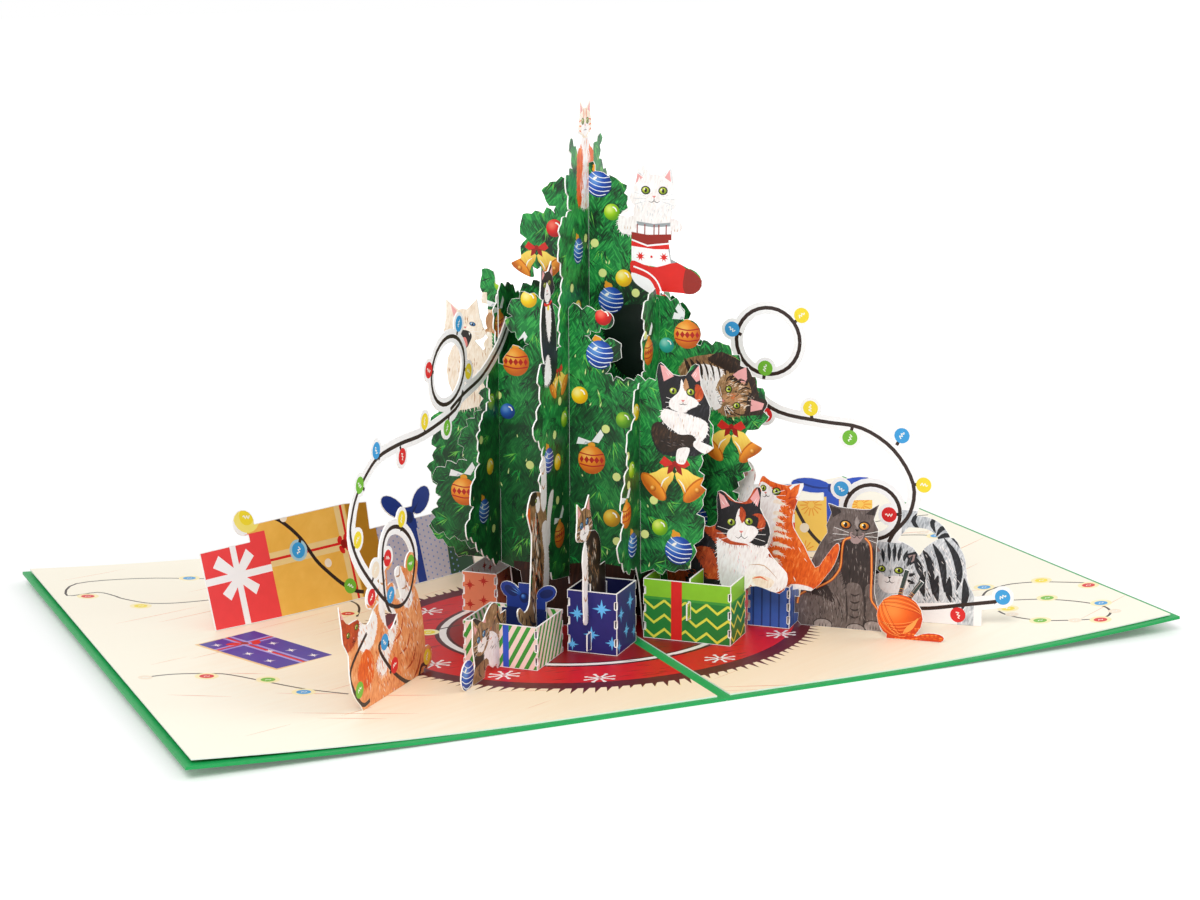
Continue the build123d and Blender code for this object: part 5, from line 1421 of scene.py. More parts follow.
def playing_kitten_print(p):
    """Ginger kitten on its back, tangled in the string."""
    p.coat("apricot", -134, 36, -120, 33, -112, 30, -104, 38, -86, 38, -80, 20, -78, -2, -126, -2, -130, 16,
        -134, 24)
    p.coat("white", -122, 22, -120, 29, -114, 29.6, -110, 25, -113, 19, -119, 18.6, hair=1.0)
    p.coat("white", -109, 28, -107.4, 37, -104.6, 37, -103.8, 31, -100.6, 27, -97, 21, -101, 19, -106, 23,
        hair=0.9)
    p.coat("white", -99, 30, -99.4, 37, -96, 37.4, -92, 32, -87, 26, -90, 23, -95, 26, hair=0.9)
    p.coat("white", -111, 13, -106.6, 17, -100, 22.6, -98, 19, -103, 13, -105, 9, -109, 9, hair=1.5)
    p.coat("ginger", -122, 15, -117.5, 19, -113, 15, -113.4, 9.6, -118, 8, -122, 10.6, hair=1.4)
    for line in (pairs(-106, 36, -105, 31.6, -100, 24), pairs(-97.6, 36.4, -93, 31, -88, 26)):
        bars_across(p, line, 3.8, 0.7, "tan")
    bars_across(p, pairs(-98, 20, -93, 14, -88, 7, -84, 3), 9, 0.9, "rust")
    fur_dabs(p, -100, 12, 18, 11, 0, -70, "apricot, apricot, ginger, rust, cream", 260, 2.6, 0.34)
    fur_dabs(p, -90, 26, 6, 8, 0, -66, "apricot, rust, cream", 60, 2.6, 0.34)
    fur_dabs(p, -117, 25, 5, 5, 0, -66, "apricot, cream, white", 40, 2.2, 0.3)
    p.coat("rust", -133, 32, -129, 31, -124, 31, -121, 27, -123, 23, -128, 21, -132, 24)
    p.corners("ear pink", -132.4, 35, -131.4, 31, -128.6, 30.4)
    p.draws(0.6, "ginger dark", (-129, 31, -127.4, 29, -127, 27), (-126.4, 31, -125.2, 29, -125, 27),
        (-131, 27, -129, 26, -127.6, 24))
    eye(p, -127.6, 25.6, 0.85, 0.65, tilt=-20)
    eye(p, -122.6, 26.6, 0.85, 0.65, tilt=10)
    nose(p, -124.4, 24, 0.5)
    mouth(p, -124.4, 23.8, 1.2)


def left_string_print(p):
    playing_kitten_print(p)
    loop = ellipse_line(-60.5, 85.2, 11.5, 9.5, 12)
    to_tree = pairs(-59.5, 73.6, -50, 76.4, -36, 79.4, -23, 86, -15.9, 92.5)
    down = pairs(-50.4, 77.5, -56, 73, -77.2, 70.3, -93.5, 70.6, -106.7, 69.8, -114.8, 66.3, -120.4, 62.1,
        -123.4, 57.5, -124.6, 51.9, -120.3, 44, -112.8, 36.2, -105.9, 30, -100, 26.2, -93.9, 25.1, -88.8,
        27.5, -86, 32.9, -85.8, 38.4, -89.2, 43.7, -95.3, 47.6, -101.3, 48.3, -105, 45.4, -106, 39.8, -105.6,
        35.3, -104.7, 29.6, -102.5, 25.8, -98.6, 20.8)
    fall = pairs(-116.6, 23.2, -125.4, 17.2, -126.9, 12.8, -122.5, 6.1, -119.2, 3.7, -115.6, 4)
    across = pairs(-103, 16.6, -108.3, 18.1, -109, 16.2, -104.5, 11, -98.6, 5.9, -91.4, 1.7, -85.1, 0.9,
        -82.4, 3.8, -79.2, 3.4)
    runs = [(loop, True), (to_tree, False), (down, False), (fall, False), (across, False)]
    bulbs = [(-52.6, 97.4, "blue"), (-73.6, 87.6, "red"), (-46.4, 82.4, "yellow"), (-62, 68.8, "green"),
        (-77, 73.6, "yellow"), (-92, 66.8, "red"), (-108, 71.8, "blue"), (-118.4, 64.6, "green"),
        (-120.5, 50.1, "yellow"), (-102.7, 40.6, "red"), (-88.2, 35.5, "green"), (-93.3, 49.4, "yellow"),
        (-110.2, 39.2, "white"), (-113.1, 32.3, "red"), (-101.3, 29.8, "blue"), (-121.7, 8.7, "green"),
        (-99.9, 9.2, "red"), (-105.8, 17.6, "blue"), (-78.6, 5.4, "yellow")]
    cord_print(p, runs, bulbs)


def arched_cat_print(p):
    p.rows(88, 124, -2, 26, "silver")
    p.corners("silver", 99, 26, 99, 36.4, 114, 36.4, 124, 26)
    tail = pairs(112.6, 28.6, 111.8, 31, 108.6, 33.4, 100.6, 33)
    bars_across(p, tail, 5.6, 1.5, "silver dark")
    fur_dabs(p, 110.6, 17, 9, 10, 0, -62, "silver dark, silver, white, white", 170, 2.3, 0.26)
    p.draws(2.3, "silver dark", (103.6, 22, 104.4, 19.4, 106, 15), (105.6, 24.6, 108, 20, 109, 11),
        (108.6, 26.8, 111.6, 21, 112.6, 12), (112, 28.8, 115.4, 24, 117, 18, 116.2, 13),
        (113.4, 30, 118, 26.6, 119.6, 21), (106.6, 18, 105.4, 14, 106.4, 10), (110.4, 17, 109.8, 13, 110.6,
        9), (118.4, 17, 119, 12, 118, 7), (114, 17, 113.8, 12.6, 114.6, 9))
    fur_dabs(p, 110.6, 17, 9, 10, 0, -62, "silver dark, white", 46, 2, 0.18)
    fur_dabs(p, 97.4, 20.6, 5.6, 5, 0, -84, "silver dark, silver, white", 70, 1.9, 0.22)
    fur_dabs(p, 102.4, 13.4, 1.6, 3, 0, -60, "silver dark, silver", 16, 1.8, 0.26)
    bars_across(p, pairs(98, 9, 98.6, 5, 98.4, 0), 6, 0.8, "silver dark")
    p.corners("silver dark", 100.4, 22.8, 104.2, 24.2, 103.6, 20.6, 101.8, 19.4)
    p.corners("muzzle grey", 101.2, 22.4, 103.4, 23, 103, 21, 102.2, 20.4)
    p.corners("muzzle grey", 90.4, 22.4, 90.8, 25.2, 92.8, 23)
    p.coat("white", 92.4, 16.4, 94.2, 15.2, 96, 15.6, 98, 15.8, 101.8, 15, 100.4, 11.6, 97, 10.2, 94, 10.4,
        92.2, 12.6, hair=0.7, width=0.2)
    p.draws(1.15, "silver dark", (93, 24, 93.4, 22, 93.6, 19.6), (95, 26, 95.3, 23, 95.4, 20),
        (97, 26, 97, 23, 96.8, 20), (99, 25.4, 98.4, 22.6, 98.2, 20.4), (101, 24, 100.2, 22, 99.8, 20.6),
        (102.6, 22.6, 101.6, 20.8, 101, 19), (103.4, 17, 102, 16.4, 100.6, 16.8), (103.4, 14, 102, 14.2, 101,
        15), (90.4, 17, 91.4, 16.4, 92.4, 16.4))
    eye(p, 93.1, 17.6, 1, 0.8, tilt=-8)
    eye(p, 98.4, 17.5, 1.2, 0.85, tilt=8)
    nose(p, 95.5, 15, 0.6, "fine dark")
    mouth(p, 95.6, 14.6, 1.7)
    whiskers(p, 95.6, 14, 2.2, 6.4)


def right_string_print(p):
    arched_cat_print(p)
    p.corners("cord margin", 101, -1, 117, -1, 116, 9.2, 101, 7.4)
    p.rows(121.6, 134, -1, 16, "cord margin")
    loop = ellipse_line(56.4, 85.4, 10, 10.2)
    root = [(32, 78.6), (39, 76.4), (47, 77.6)]
    run = [(46.5, 77.2), (51, 70), (60, 63.8), (74, 61.8), (86, 60.6), (96, 54.6), (102.2, 44.6),
        (101.4, 35.6), (96.8, 29.4), (95, 26)]
    small = ellipse_line(89.8, 35, 8.6, 8.4)
    floor_run = [(100, 6), (108, 6.6), (118, 8.6), (128, 10.6)]
    bulbs = [(66.8, 93.8, "yellow"), (45, 88.4, "blue"), (55.6, 77, "green"), (55.6, 62.6, "red"),
        (70, 65.6, "yellow"), (82.4, 57.4, "green"), (98.4, 59.2, "blue"), (105.4, 44.6, "yellow"),
        (80, 41.4, "blue"), (95, 34.6, "red"), (116.8, 5.4, "red"), (130.2, 12.2, "blue")]
    cord_print(p, [(loop, True), (root, False), (run, False), (small, True), (floor_run, False)], bulbs)


def dress_strings():
    printed_sheet("left_light_string", v_plate(U_LEFT + SHEET), printed(left_string_print), "card white",
        0)
    printed_sheet("right_light_string", u_plate(V_BACK + SHEET), printed(right_string_print), "card white",
        0)


# Gift boxes

WALL_FOOT, WALL_TOP = -2, 30     # past the edges of every wall

def star_flake(p, x, y, r, ink, arms=8, width=0.14, side="both"):
    for k in range(arms):
        reach = r if k % 2 == 0 else 0.62 * r
        p.stroke(x, y, 360 * k / arms + 90, reach, width * r * 2, ink, side)


STRIPE_PITCH, STRIPE_WIDE, STRIPE_SLANT = 2.9, 1.35, 0.62


def diagonal_stripes(p, left, right, height, side):
    p.rows(left, right, WALL_FOOT, height, "stripe pale", side)
    x, slant = left - height, height * STRIPE_SLANT
    while x < right:
        p.shape([(x, WALL_FOOT), (x + STRIPE_WIDE, WALL_FOOT), (x + STRIPE_WIDE + slant, height),
            (x + slant, height)], "stripe green", side)
        x += STRIPE_PITCH


def zigzags(p, left, right, side):
    p.rows(left, right, WALL_FOOT, 14.2, "box green", side)
    step = 3.3
    for base in (1.9, 6.3, 10.7):
        low = []
        x, k = left - step, 0
        while x <= right + step:
            low.append((x, base + (2.6 if k % 2 else 0)))
            x += step
            k += 1
        for (x0, y0), (x1, y1) in zip(low, low[1:]):
            p.shape([(x0, y0 - 0.45), (x1, y1 - 0.45), (x1, y1 + 0.45), (x0, y0 + 0.45)], "zigzag yellow",
                side)
    p.rows(left, right, 13.9, WALL_TOP, "lid lime", side)
    p.rows(left, right, 13.5, 14.3, "stripe green", side)


def ribs(p, left, right, height, side):
    p.rows(left, right, WALL_FOOT, height, "box blue", side)
    x = left + 1.6
    while x < right:
        p.rows(x, x + 0.5, WALL_FOOT, height, "rib navy", side)
        x += 2.7


def box_faces(size):
    """The four walls as (plate, x from, x to, limits), with the two front-left ones whole."""
    u0, u1, v0, v1, _ = size
    return {"front": (u_plate(v0, 0, -SHEET), u0, u1, None), "right": (v_plate(u1, 0, -SHEET), v0, v1,
        (v0 + SHEET, v1 - SHEET)), "back": (Plate((v1 / WALL_ROOT, v1 / WALL_ROOT, 0), (-1, 1, 0), (1, 1, 0),
        0, -SHEET), -u1, -u0, None), "left": (Plate((u0 / WALL_ROOT, -u0 / WALL_ROOT, 0), (-1, -1, 0),
        (-1, 1, 0), 0, -SHEET), -v1, -v0, (-v1 + SHEET, -v0 - SHEET)),}


def gift_box(node, size, picture_of, base, inside):
    """A folded box: its four walls, printed outside and in, and its glue flap."""
    sheets = []
    for name, (plate, low, high, limits) in box_faces(size).items():
        loops = cut_outline(node, plate)
        sheets.append((loops, picture_of(name, low, high), base, flat_place(plate), limits, 0.18, []))
    u0, v1, height = size[0], size[3], size[4]
    flap = Plate(((v1 - SHEET) / WALL_ROOT, (v1 - SHEET) / WALL_ROOT, 0), (-1, 1, 0), (1, 1, 0), 0, -SHEET)
    strip = [(-u0 - 6.4, 1.35), (-u0 - SHEET, 1.35), (-u0 - SHEET, height - 1.0), (-u0 - 6.4, height - 1.0)]
    sheets.append(([strip], Print(), base, flat_place(flap), None, 0.18, []))
    hand_over(printed_mesh(node + "_print", sheets, inside), node)


def striped_face(name, low, high):
    p = Print()
    diagonal_stripes(p, low, high, 15, "both")
    if name == "front":
        p.rows(3.4, 5.2, WALL_FOOT, 15, "bow blue", "front")
    return p


def star_face(name, low, high):
    p = Print()
    middle = (low + high) / 2
    for dx, y, r in ((-4.6, 13.0, 2.6), (3.0, 15.0, 3.0), (-0.2, 7.0, 2.6), (6.2, 5.0, 2.2),
            (-6.2, 3.6, 2.0)):
        star_flake(p, middle + dx, y, r, "star blue", side="front")
    return p


def zigzag_face(name, low, high):
    p = Print()
    zigzags(p, low, high, "front")
    p.rows(low, high, 13.9, WALL_TOP, "lid lime", "back")
    if name in ("front", "back"):
        middle = 41.4 if name == "front" else (low + high) / 2
        p.rows(middle - 1.5, middle + 1.9, WALL_FOOT, WALL_TOP, "ribbon red", "front")
    return p


def ribbed_face(name, low, high):
    p = Print()
    ribs(p, low, high, 15, "front")
    return p


def snowflake_face(name, low, high):
    p = Print()
    x, k = low + 2.6, 0
    while x < high:
        for y in (3.6, 9.8):
            star_flake(p, x, y + (1.6 if k % 2 else 0), 1.9, "flake red")
        x += 4.6
        k += 1
    return p


def dress_boxes():
    gift_box("striped_box", STRIPED_BOX, striped_face, "stripe pale", "stripe pale")
    gift_box("star_box", STAR_BOX, star_face, "box violet", "box navy")
    gift_box("zigzag_box", ZIGZAG_BOX, zigzag_face, "box green", "box green")
    gift_box("ribbed_box", RIBBED_BOX, ribbed_face, "box blue", "box navy")
    gift_box("snowflake_box", SNOWFLAKE_BOX, snowflake_face, "salmon", "card white")


# Gift panels

PANEL_FOOT = -3     # below a panel's lower edge
PANEL_OUTER, PANEL_INNER, PANEL_LEAN = (-112.5, 12.8), (-14.0, 52.2), 16.0


def panel_plate(mirrored):
    dx, dy = PANEL_INNER[0] - PANEL_OUTER[0], PANEL_INNER[1] - PANEL_OUTER[1]
    length = hypot(dx, dy)
    along = (dx / length, dy / length)
    lean = radians(PANEL_LEAN)
    normal = (along[1] * cos(lean), -along[0] * cos(lean), sin(lean))
    if mirrored:
        return Plate((-PANEL_OUTER[0], PANEL_OUTER[1], LINER_HIGH), (along[0], -along[1], 0),
            (-normal[0], normal[1], normal[2]))
    return Plate((*PANEL_OUTER, LINER_HIGH), (along[0], along[1], 0), normal)


def left_panel_print(p):
    p.rows(94, 113, PANEL_FOOT, 24, "panel dark green")
    p.rows(105.4, 107.6, PANEL_FOOT, 24, "panel pink")
    p.corners("panel pink", 96.6, 12.4, 104.4, 12.2, 104.4, 14.4, 97, 14.8)
    p.corners("panel pink", 100.8, 9.4, 103.2, 7.2, 105, 9.4, 103.2, 11.6)
    p.corners("panel grey", 59.6, PANEL_FOOT, 94.6, PANEL_FOOT, 96.8, 22, 59.6, 22)
    x, k = 60.6, 0
    while x < 99:
        for n in range(11):
            p.oval(x, 0.4 + 2.0 * n + (1.0 if k % 2 else 0), 0.36, 0.36, "dot blue", 0, 6)
        x += 1.9
        k += 1
    p.rows(80.8, 84.4, PANEL_FOOT, 22, "bow navy")
    p.oval(76.6, 26, 5.6, 3.3, "bow navy", -40, 16)
    p.oval(88.6, 26.2, 5.6, 3.5, "bow navy", 44, 16)
    p.rows(80, 85, 17.6, 25.4, "bow navy")
    p.stroke(81.6, 22, 130, 6, 0.7, "bow navy dark")
    p.stroke(83.4, 22, 42, 6, 0.7, "bow navy dark")
    p.oval(82.4, 21.6, 1.6, 2, "bow navy dark", 0, 10)
    p.rows(18.4, 57.8, PANEL_FOOT, 34, "panel gold")
    p.corners("panel brown", 57.6, PANEL_FOOT, 68, PANEL_FOOT, 68, 32, 57.6, 32)
    p.rows(53, 57.2, PANEL_FOOT, 33, "ribbon cream")
    p.rows(55.2, 56.1, PANEL_FOOT, 33, "ribbon red")
    p.rows(24, 57.6, 16.4, 20.8, "ribbon cream")
    p.rows(24, 57.6, 18.2, 19, "ribbon red")
    for x, y, a, b, t in ((52.8, 19.8, 1.3, 0.9, 60), (55.2, 20, 1.4, 0.9, 70), (53, 16.6, 1.5, 0.9, -60),
            (55.4, 16.6, 1.2, 0.8, -50)):
        p.oval(x, y, a, b, "ribbon red", t, 12)
    p.oval(54.2, 18.2, 1.3, 1.5, "red bow dark", 0, 10)
    p.rows(-1, 25, PANEL_FOOT, 28, "panel red")
    p.rows(11, 13.2, PANEL_FOOT, 28, "card white")
    p.rows(-1, 25, 15.3, 17.5, "card white")
    p.corners("card white", 3.6, 20.4, 6.4, 23.6, 12, 18, 10.6, 16.2)
    p.corners("card white", 12, 18.2, 16.8, 23.8, 19.2, 21.2, 13.4, 16)
    p.corners("card white", 5.2, 12.2, 7.8, 9.6, 12.4, 14.6, 11, 16.4)
    p.corners("card white", 12, 14.6, 17.2, 9.6, 19.2, 12.2, 13.4, 16.6)
    p.oval(12.1, 16.4, 2.5, 2.5, "card white", 0, 14)
    p.line(pairs(21.6, 33, 27, 32, 32, 29.5, 38, 23, 42, 15.5, 46, 10.6, 50, 6.5, 54, 3.4, 58, 2), 1.2,
        "cord brown")
    p.oval(19.5, 33.3, 5, 5, "glow yellow", 0, 20)
    p.oval(36.2, 19.6, 3.4, 3.4, "glow blue", 0, 18)
    printed_bulb(p, 19.5, 33.3, "yellow", (23, 33), 2.7)
    p.oval(33, 30.5, 1.4, 1.4, "bulb white", 0, 14)
    printed_bulb(p, 36.2, 19.6, "blue", (37.8, 23), 2.5)
    p.oval(46.5, 13.6, 1.4, 1.4, "bulb white", 0, 14)
    printed_bulb(p, 53.2, 4.9, "green", (51, 6), 2.4)


def right_panel_print():
    """Drawn from the outer end inwards, then turned over for the right wing."""
    p = Print()
    p.rows(51.2, 85, PANEL_FOOT, 18, "panel dark green")
    for x in (58, 66, 74, 82):
        p.rows(x, x + 1.4, PANEL_FOOT, 18, "panel pink")
    p.rows(25, 52.2, PANEL_FOOT, 25, "panel red")
    p.rows(36.8, 40, PANEL_FOOT, 25, "card white")
    p.rows(25, 52.2, 11, 13.8, "card white")
    p.rows(-4, 30, 16, 32, "bow blue")
    p.rows(-4, 25.4, PANEL_FOOT, 19.5, "panel yellow")
    for x, y in ((3.2, 16.8), (19.8, 16.8), (3, 3.4), (22.6, 1.4), (8.4, 9.6)):
        for k in range(14):
            c, s = cos(pi * k / 7), sin(pi * k / 7)
            p.line([(x + 1.1 * c, y + 1.1 * s), (x + 3.7 * c, y + 3.7 * s)], 0.36, "burst orange", 1)
    p.rows(10.4, 14.6, PANEL_FOOT, 26, "bow blue")
    p.draws(0.7, "bow navy", (12.4, 22.4, 6, 23.4, -2, 26.6), (12.6, 22.4, 19, 22.8, 26, 25.6))
    p.oval(12.5, 22.4, 1.7, 1.8, "bow navy", 0, 10)
    p.line(pairs(26, 19, 24, 14, 20.6, 8, 17, 4, 14, 2), 1.1, "cord brown")
    p.oval(22.2, 9.2, 1.6, 1.6, "bulb white", 0, 14)
    return p.flipped()


def dress_panels():
    printed_sheet("left_gift_panel", panel_plate(False), printed(left_panel_print), "card white",
        0.2)
    printed_sheet("right_gift_panel", panel_plate(True), right_panel_print(), "card white",
        0.2)


# The floor printed on the liners

RUG = (-7.0, -24.5)
RUG_REACH = (64, 52.5)
RING_FLATNESS = 0.837
FRINGE_TEETH = 130
PLANKS = 64
BEND_STEP, BENDS = 5.5, 21     # creases that let a liner follow its bent wing


def wing_height(x, height, lift):
    """Height above the table of a layer of the card."""
    run = CARD_HALF - FLAT_HALF
    radius = (run * run + lift * lift) / (2 * lift)
    far = abs(x) - FLAT_HALF
    if far <= 0:
        return height
    return radius - sqrt((radius - height) ** 2 - far * far)


def liner_place(lift):
    def place(x, y):
        return (Vector((x, y, wing_height(x, LINER_HIGH, lift))) * MM, Vector((x, y,
            wing_height(x, LINER_LOW, lift))) * MM)
    return place


def plank_lines(p):
    """Thin slanting lines of the boards, few and far between."""
    for k in range(PLANKS):
        x, y = chance.uniform(-150, 130), chance.uniform(-98, 92)
        slope = 0.45 if k % 3 else -0.36
        length = chance.uniform(10, 34)
        p.line([(x, y), (x + length / 2, y + slope * length / 2), (x + length, y + slope * length)],
            chance.uniform(0.2, 0.42), "plank line" if k % 3 == 0 else "plank faint", 2, True)


def rug_edge(angle, grow):
    return (RUG[0] + (RUG_REACH[0] + grow) * cos(angle), RUG[1] + (RUG_REACH[1] + grow) * sin(angle))


def rug_print(p):
    for reach, wide, rug_ink in ((9.6, 0.010, "rug tips"), (8.6, 0.018, "rug fringe")):
        for k in range(FRINGE_TEETH):
            turn = 2 * pi * k / FRINGE_TEETH
            a, b = rug_edge(turn - wide, 3), rug_edge(turn + wide, 3)
            tip = rug_edge(turn - 0.026, reach + 1.3 * sin(7 * k))
            p.shape([a, b, tip], rug_ink)
    ring = [2 * pi * k / 72 for k in range(72)]
    p.shape([rug_edge(t, 5) for t in ring], "rug fringe")
    p.shape([rug_edge(t, 0) for t in ring], "rug red")
    for k in range(150):
        turn = chance.uniform(0, 2 * pi)
        x, y = rug_edge(turn, chance.uniform(-14, -2))
        p.stroke(x, y, chance.uniform(-10, 10), chance.uniform(3, 8), 0.5, "rug heart")
    for x, y in ((-48.4, -57.5), (-24.9, -71.3), (14.2, -69.2), (41.7, -55.4), (-45.8, 11.9), (-62.8, -40),
            (52.6, -34), (-64.5, -12), (50, -2), (-14, 20), (26, 18)):
        for arm in range(8):
            c, s = cos(pi * arm / 4), sin(pi * arm / 4)
            reach = 4.4
            p.line([(x + 0.7 * c, y + 0.5 * s), (x + reach * c, y + 0.78 * reach * s)], 0.7, "snow white", 1)
            p.oval(x + reach * c, y + 0.78 * reach * s, 0.62, 0.56, "snow white", 0, 8)
    # White ring with its painted shadow lines; inside it a darker red, painted shade near the tree and boxes
    for radius, ink in ((47.4, "rug ring"), (46, "snow white"), (43.8, "rug ring"), (42.8, "rug heart")):
        p.oval(RUG[0], RUG[1] + 1.5, radius, radius * RING_FLATNESS, ink, 0, 64)
    # Painted shade: strokes of the shadow colour over the rug's middle, round the tree
    for k in range(60):
        turn, far = chance.uniform(0, 2 * pi), 38 * sqrt(chance.random())
        p.stroke(RUG[0] + far * cos(turn), RUG[1] + far * sin(turn), chance.uniform(-10, 10), 6, 0.5,
            "rug ring")


def floor_cords(p):
    """Strings of lights printed on the boards."""
    for path in (pairs(-145.8, -28.3, -142.8, -27.1, -135.3, -26.3, -125.3, -28.3, -120.3, -31.3, -112.4,
            -40.8, -104.5, -50, -94.9, -57.9), pairs(-131.6, 60, -136, 66, -146, 64, -140, 78, -120, 80,
            -100, 74, -84, 66), pairs(-131.6, 60, -130.2, 56.7, -124.9, 50.4, -119.9, 48.3, -113.7, 47.7,
            -105.3, 48.3), pairs(-64.1, 33.3, -63.3, 28.3, -64.5, 22.5, -67.8, 15), pairs(-51.2, -7.9, -42,
            -5.8), pairs(120, -60.8, 127.5, -65, 133.3, -70.8, 137.5, -77.5, 138.8, -83.3, 136.7, -88.3,
            132.5, -90.8, 128.3, -89.6, 123.3, -87.1, 116.7, -82.9, 112.5, -77.5, 110.4, -71.7, 110.4,
            -67.5), pairs(112.9, -54.2, 116.7, -50, 120, -47.9, 125.4, -46.7, 130, -47.1, 136.7, -50, 143.3,
            -55.4, 148.3, -60), pairs(92, 25, 104, 34, 122, 40, 140, 39, 149, 36), pairs(92, 25, 90, 16, 98,
            6, 112, -1, 128, -3, 137, 3, 138, 12, 130, 20, 116, 25, 100, 26)):
        p.line(path, 0.75, "cord brown")
    for x, y, colour in ((-144.1, -27.5, "white"), (-127.4, -30.4, "red"), (-112, -38.3, "green"),
            (-106, -52.3, "blue"), (-127, 47.1, "yellow"), (-104, 76, "blue"), (-140, 62, "red"),
            (-69.3, 19.2, "red"), (-53.4, -9.2, "yellow"), (129.8, -65, "green"), (140, -78.8, "blue"),
            (138.8, -87.5, "white"), (130.7, -91.7, "red"), (124.2, -87.9, "white"), (115.7, -82.1, "green"),
            (112, -72.5, "white"), (114.2, -67, "yellow"), (120, -44.6, "blue"), (138.3, -49.2, "yellow"),
            (147.1, -62.1, "red"), (100, 33, "blue"), (121, 41.2, "yellow"), (140, 37.6, "red"),
            (116, 26, "green"), (138, 13, "blue"), (131, -3.4, "red"), (104, 3, "green"), (94, 11, "yellow"),
            (120, -3, "white"), (136.4, 19, "white")):
        if colour != "white":
            p.oval(x, y, 3.4, 3.1, "bulb halo", 0, 16)
        p.oval(x, y, 2.1, 1.9, "bulb " + colour, 0, 16)
        p.line([(x - 0.8, y - 0.2), (x - 0.2, y + 0.4), (x + 0.3, y - 0.3), (x + 0.9, y + 0.2)], 0.3,
            "glint", 2)


def flat_gift(p):
    corners = [(-121.2, 1.0), (-106.6, -28.8), (-87.4, -20.7), (-101.6, 10.7)]

    def at(a, b):
        (x0, y0), (x1, y1), (x2, y2), (x3, y3) = corners
        low = (x0 + (x1 - x0) * a, y0 + (y1 - y0) * a)
        high = (x3 + (x2 - x3) * a, y3 + (y2 - y3) * a)
        return (low[0] + (high[0] - low[0]) * b, low[1] + (high[1] - low[1]) * b)

    p.shape([at(-0.02, -0.05), at(1.03, -0.05), at(1.03, 0.02), at(1.0, 1.0), at(0, 1.0)], "gift cream")
    p.shape([at(0, 0), at(1, 0), at(1, 1), at(0, 1)], "gift violet")
    for shift, ink in ((0.0, "gift lilac"), (0.05, "ribbon red"), (0.12, "gift lilac")):
        p.shape([at(0, 0.42 + shift), at(1, 0.42 + shift), at(1, 0.47 + shift), at(0, 0.47 + shift)], ink)
        p.shape([at(0.2 + 0.5 * shift, 0), at(0.225 + 0.5 * shift, 0), at(0.225 + 0.5 * shift, 1),
            at(0.2 + 0.5 * shift, 1)], ink)
    for a, b in ((0.12, 0.16), (0.5, 0.2), (0.78, 0.18), (0.4, 0.78), (0.66, 0.74), (0.9, 0.8), (0.56, 0.5)):
        x, y = at(a, b)
        star_flake(p, x, y, 1.9, "snow white", 8, 0.12)
    for side in (-1, 1):
        x, y = at(0.235 + 0.05 * side, 0.5 + 0.14 * side)
        p.oval(x, y, 2.3, 1.3, "ribbon red", 60 if side > 0 else 10, 12)
    p.oval(*at(0.235, 0.5), 1.3, 1.3, "red bow dark", 0, 10)


def floor_print(p):
    plank_lines(p)
    flat_gift(p)
    rug_print(p)
    floor_cords(p)


def dress_liners():
    picture = printed(floor_print)
    for node, lift, way in (("left_liner", LEFT_LIFT, -1), ("right_liner", RIGHT_LIFT, 1)):
        low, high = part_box(node)
        x0, x1, y0, y1 = low.x / MM, high.x / MM, low.y / MM, high.y / MM
        border = [(x0, y0), (x1, y0), (x1, y1), (x0, y1)]
        bends = [way * (FLAT_HALF + BEND_STEP * k) for k in range(BENDS)]
        rules = [((x, y0), (x, y1)) for x in bends if x0 < x < x1]
        sheet = ([border], picture, "boards", liner_place(lift), None, 0, rules)
        hand_over(printed_mesh(node + "_print", [sheet], "core"), node)


# Cover, camera, light and table

def dress_cover():
    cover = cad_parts["outer_cover"]
    card = cover_card()
    for slot in cover.material_slots:
        slot.material = card


CAMERA = {"focal": 2467.3, "yaw": 24.1, "pitch": 12.63, "roll": -0.27, "far": 770.96, "across": -6.2,
    "up": -49.16}
PICTURE_WIDTH = 1200
SENSOR = 36.0


def place_camera():
    yaw, pitch, roll = (radians(CAMERA[k]) for k in ("yaw", "pitch", "roll"))
    ahead = Vector((sin(yaw) * cos(pitch), cos(yaw) * cos(pitch), -sin(pitch)))
    level = Vector((cos(yaw), -sin(yaw), 0))
    over = level.cross(ahead)
    right = level * cos(roll) + over * sin(roll)
    up = over * cos(roll) - level * sin(roll)
    data = bpy.data.cameras.new("product_camera")
    data.sensor_width = SENSOR
    data.lens = SENSOR * CAMERA["focal"] / PICTURE_WIDTH
    data.shift_x = 1.2 / PICTURE_WIDTH
    data.clip_start, data.clip_end = 0.01, 20
    camera = bpy.data.objects.new("product_camera", data)
    spot = (-ahead * CAMERA["far"] - right * CAMERA["across"] - up * CAMERA["up"]) * MM
    turn = Matrix((right, up, -ahead)).transposed().to_4x4()
    camera.matrix_world = Matrix.Translation(spot) @ turn
    bpy.context.scene.collection.objects.link(camera)
    bpy.context.scene.camera = camera


def soft_lamp(name, spot, target, size, watts):
    data = bpy.data.lights.new(name, "AREA")
    data.shape, data.size, data.energy = "DISK", size, watts
    lamp = bpy.data.objects.new(name, data)
    lamp.location = spot
    lamp.rotation_euler = (Vector(target) - Vector(spot)).to_track_quat("-Z", "Y").to_euler()
    bpy.context.scene.collection.objects.link(lamp)


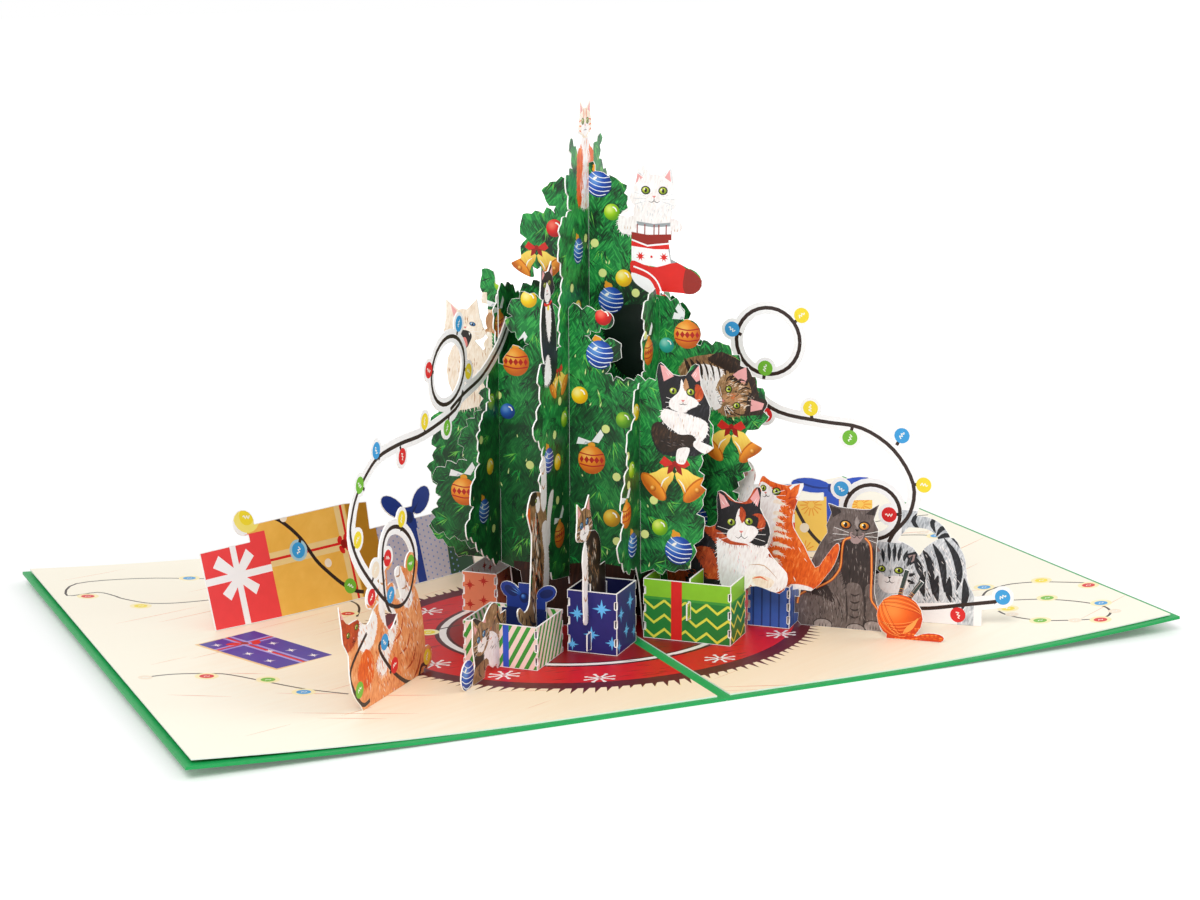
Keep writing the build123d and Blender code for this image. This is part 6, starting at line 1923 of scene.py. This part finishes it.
def seen_straight(finish):
    """1 where a ray comes straight from the camera or off a glossy surface."""
    path = finish.tree.nodes.new("ShaderNodeLightPath")
    rays = [Tone(finish, path.outputs[name]) for name in ("Is Camera Ray", "Is Glossy Ray",
        "Is Transmission Ray")]
    return rays[0].sum("MAXIMUM", rays[0].sum("MAXIMUM", rays[0], rays[1]), rays[2])


class Sky(Finish):
    """The studio's surround."""

    def __init__(self, world):
        world.use_nodes = True
        self.tree = world.node_tree
        self.shader = self.tree.nodes["Background"]


AMBIENT = 0.62
LAMPS = (("key_softbox", (-0.75, -1.1, 1.25), (0, 0, 0.03), 0.9, 17), ("fill_softbox", (1.3, -0.7, 0.9),
    (0, 0, 0.05), 1.0, 6))


def studio():
    world = bpy.data.worlds.new("studio")
    bpy.context.scene.world = world
    sky = Sky(world)
    sky.paint("Color", (1, 1, 1, 1))
    sky.paint("Strength", seen_straight(sky) * (1 - AMBIENT) + AMBIENT)
    for lamp in LAMPS:
        soft_lamp(*lamp)
    bpy.ops.mesh.primitive_plane_add(size=8, location=(0, 0, 0))
    table = bpy.context.object
    table.name = "studio_table"
    ground = Finish("studio_white", 0.9)
    ground.shader.inputs["Specular IOR Level"].default_value = 0.0
    mottle = ground.cloud(ground.node("ShaderNodeTexCoord", {}, {}, 3), 2.0)
    ground.paint("Base Color", ground.mix(mottle, (0.9, 0.9, 0.9, 1), (0.92, 0.92, 0.92, 1)))
    spread = ground.node("ShaderNodeVectorMath", {"operation": "LENGTH"},
        {0: ground.node("ShaderNodeTexCoord", {}, {}, 3)}, 1)
    glow = ground.step(spread, 0.15, 0.5) * 0.8 + 0.12
    ground.paint("Emission Color", ground.mix(glow * seen_straight(ground), (0, 0, 0, 1), (1, 1, 1, 1)))
    ground.shader.inputs["Emission Strength"].default_value = 1
    table.data.materials.append(ground.material)


place_camera()
studio()
dress_cover()
dress_liners()
dress_tree()
dress_boxes()
dress_panels()
dress_figures()
dress_strings()

scene = bpy.context.scene
scene.view_settings.view_transform = "Standard"
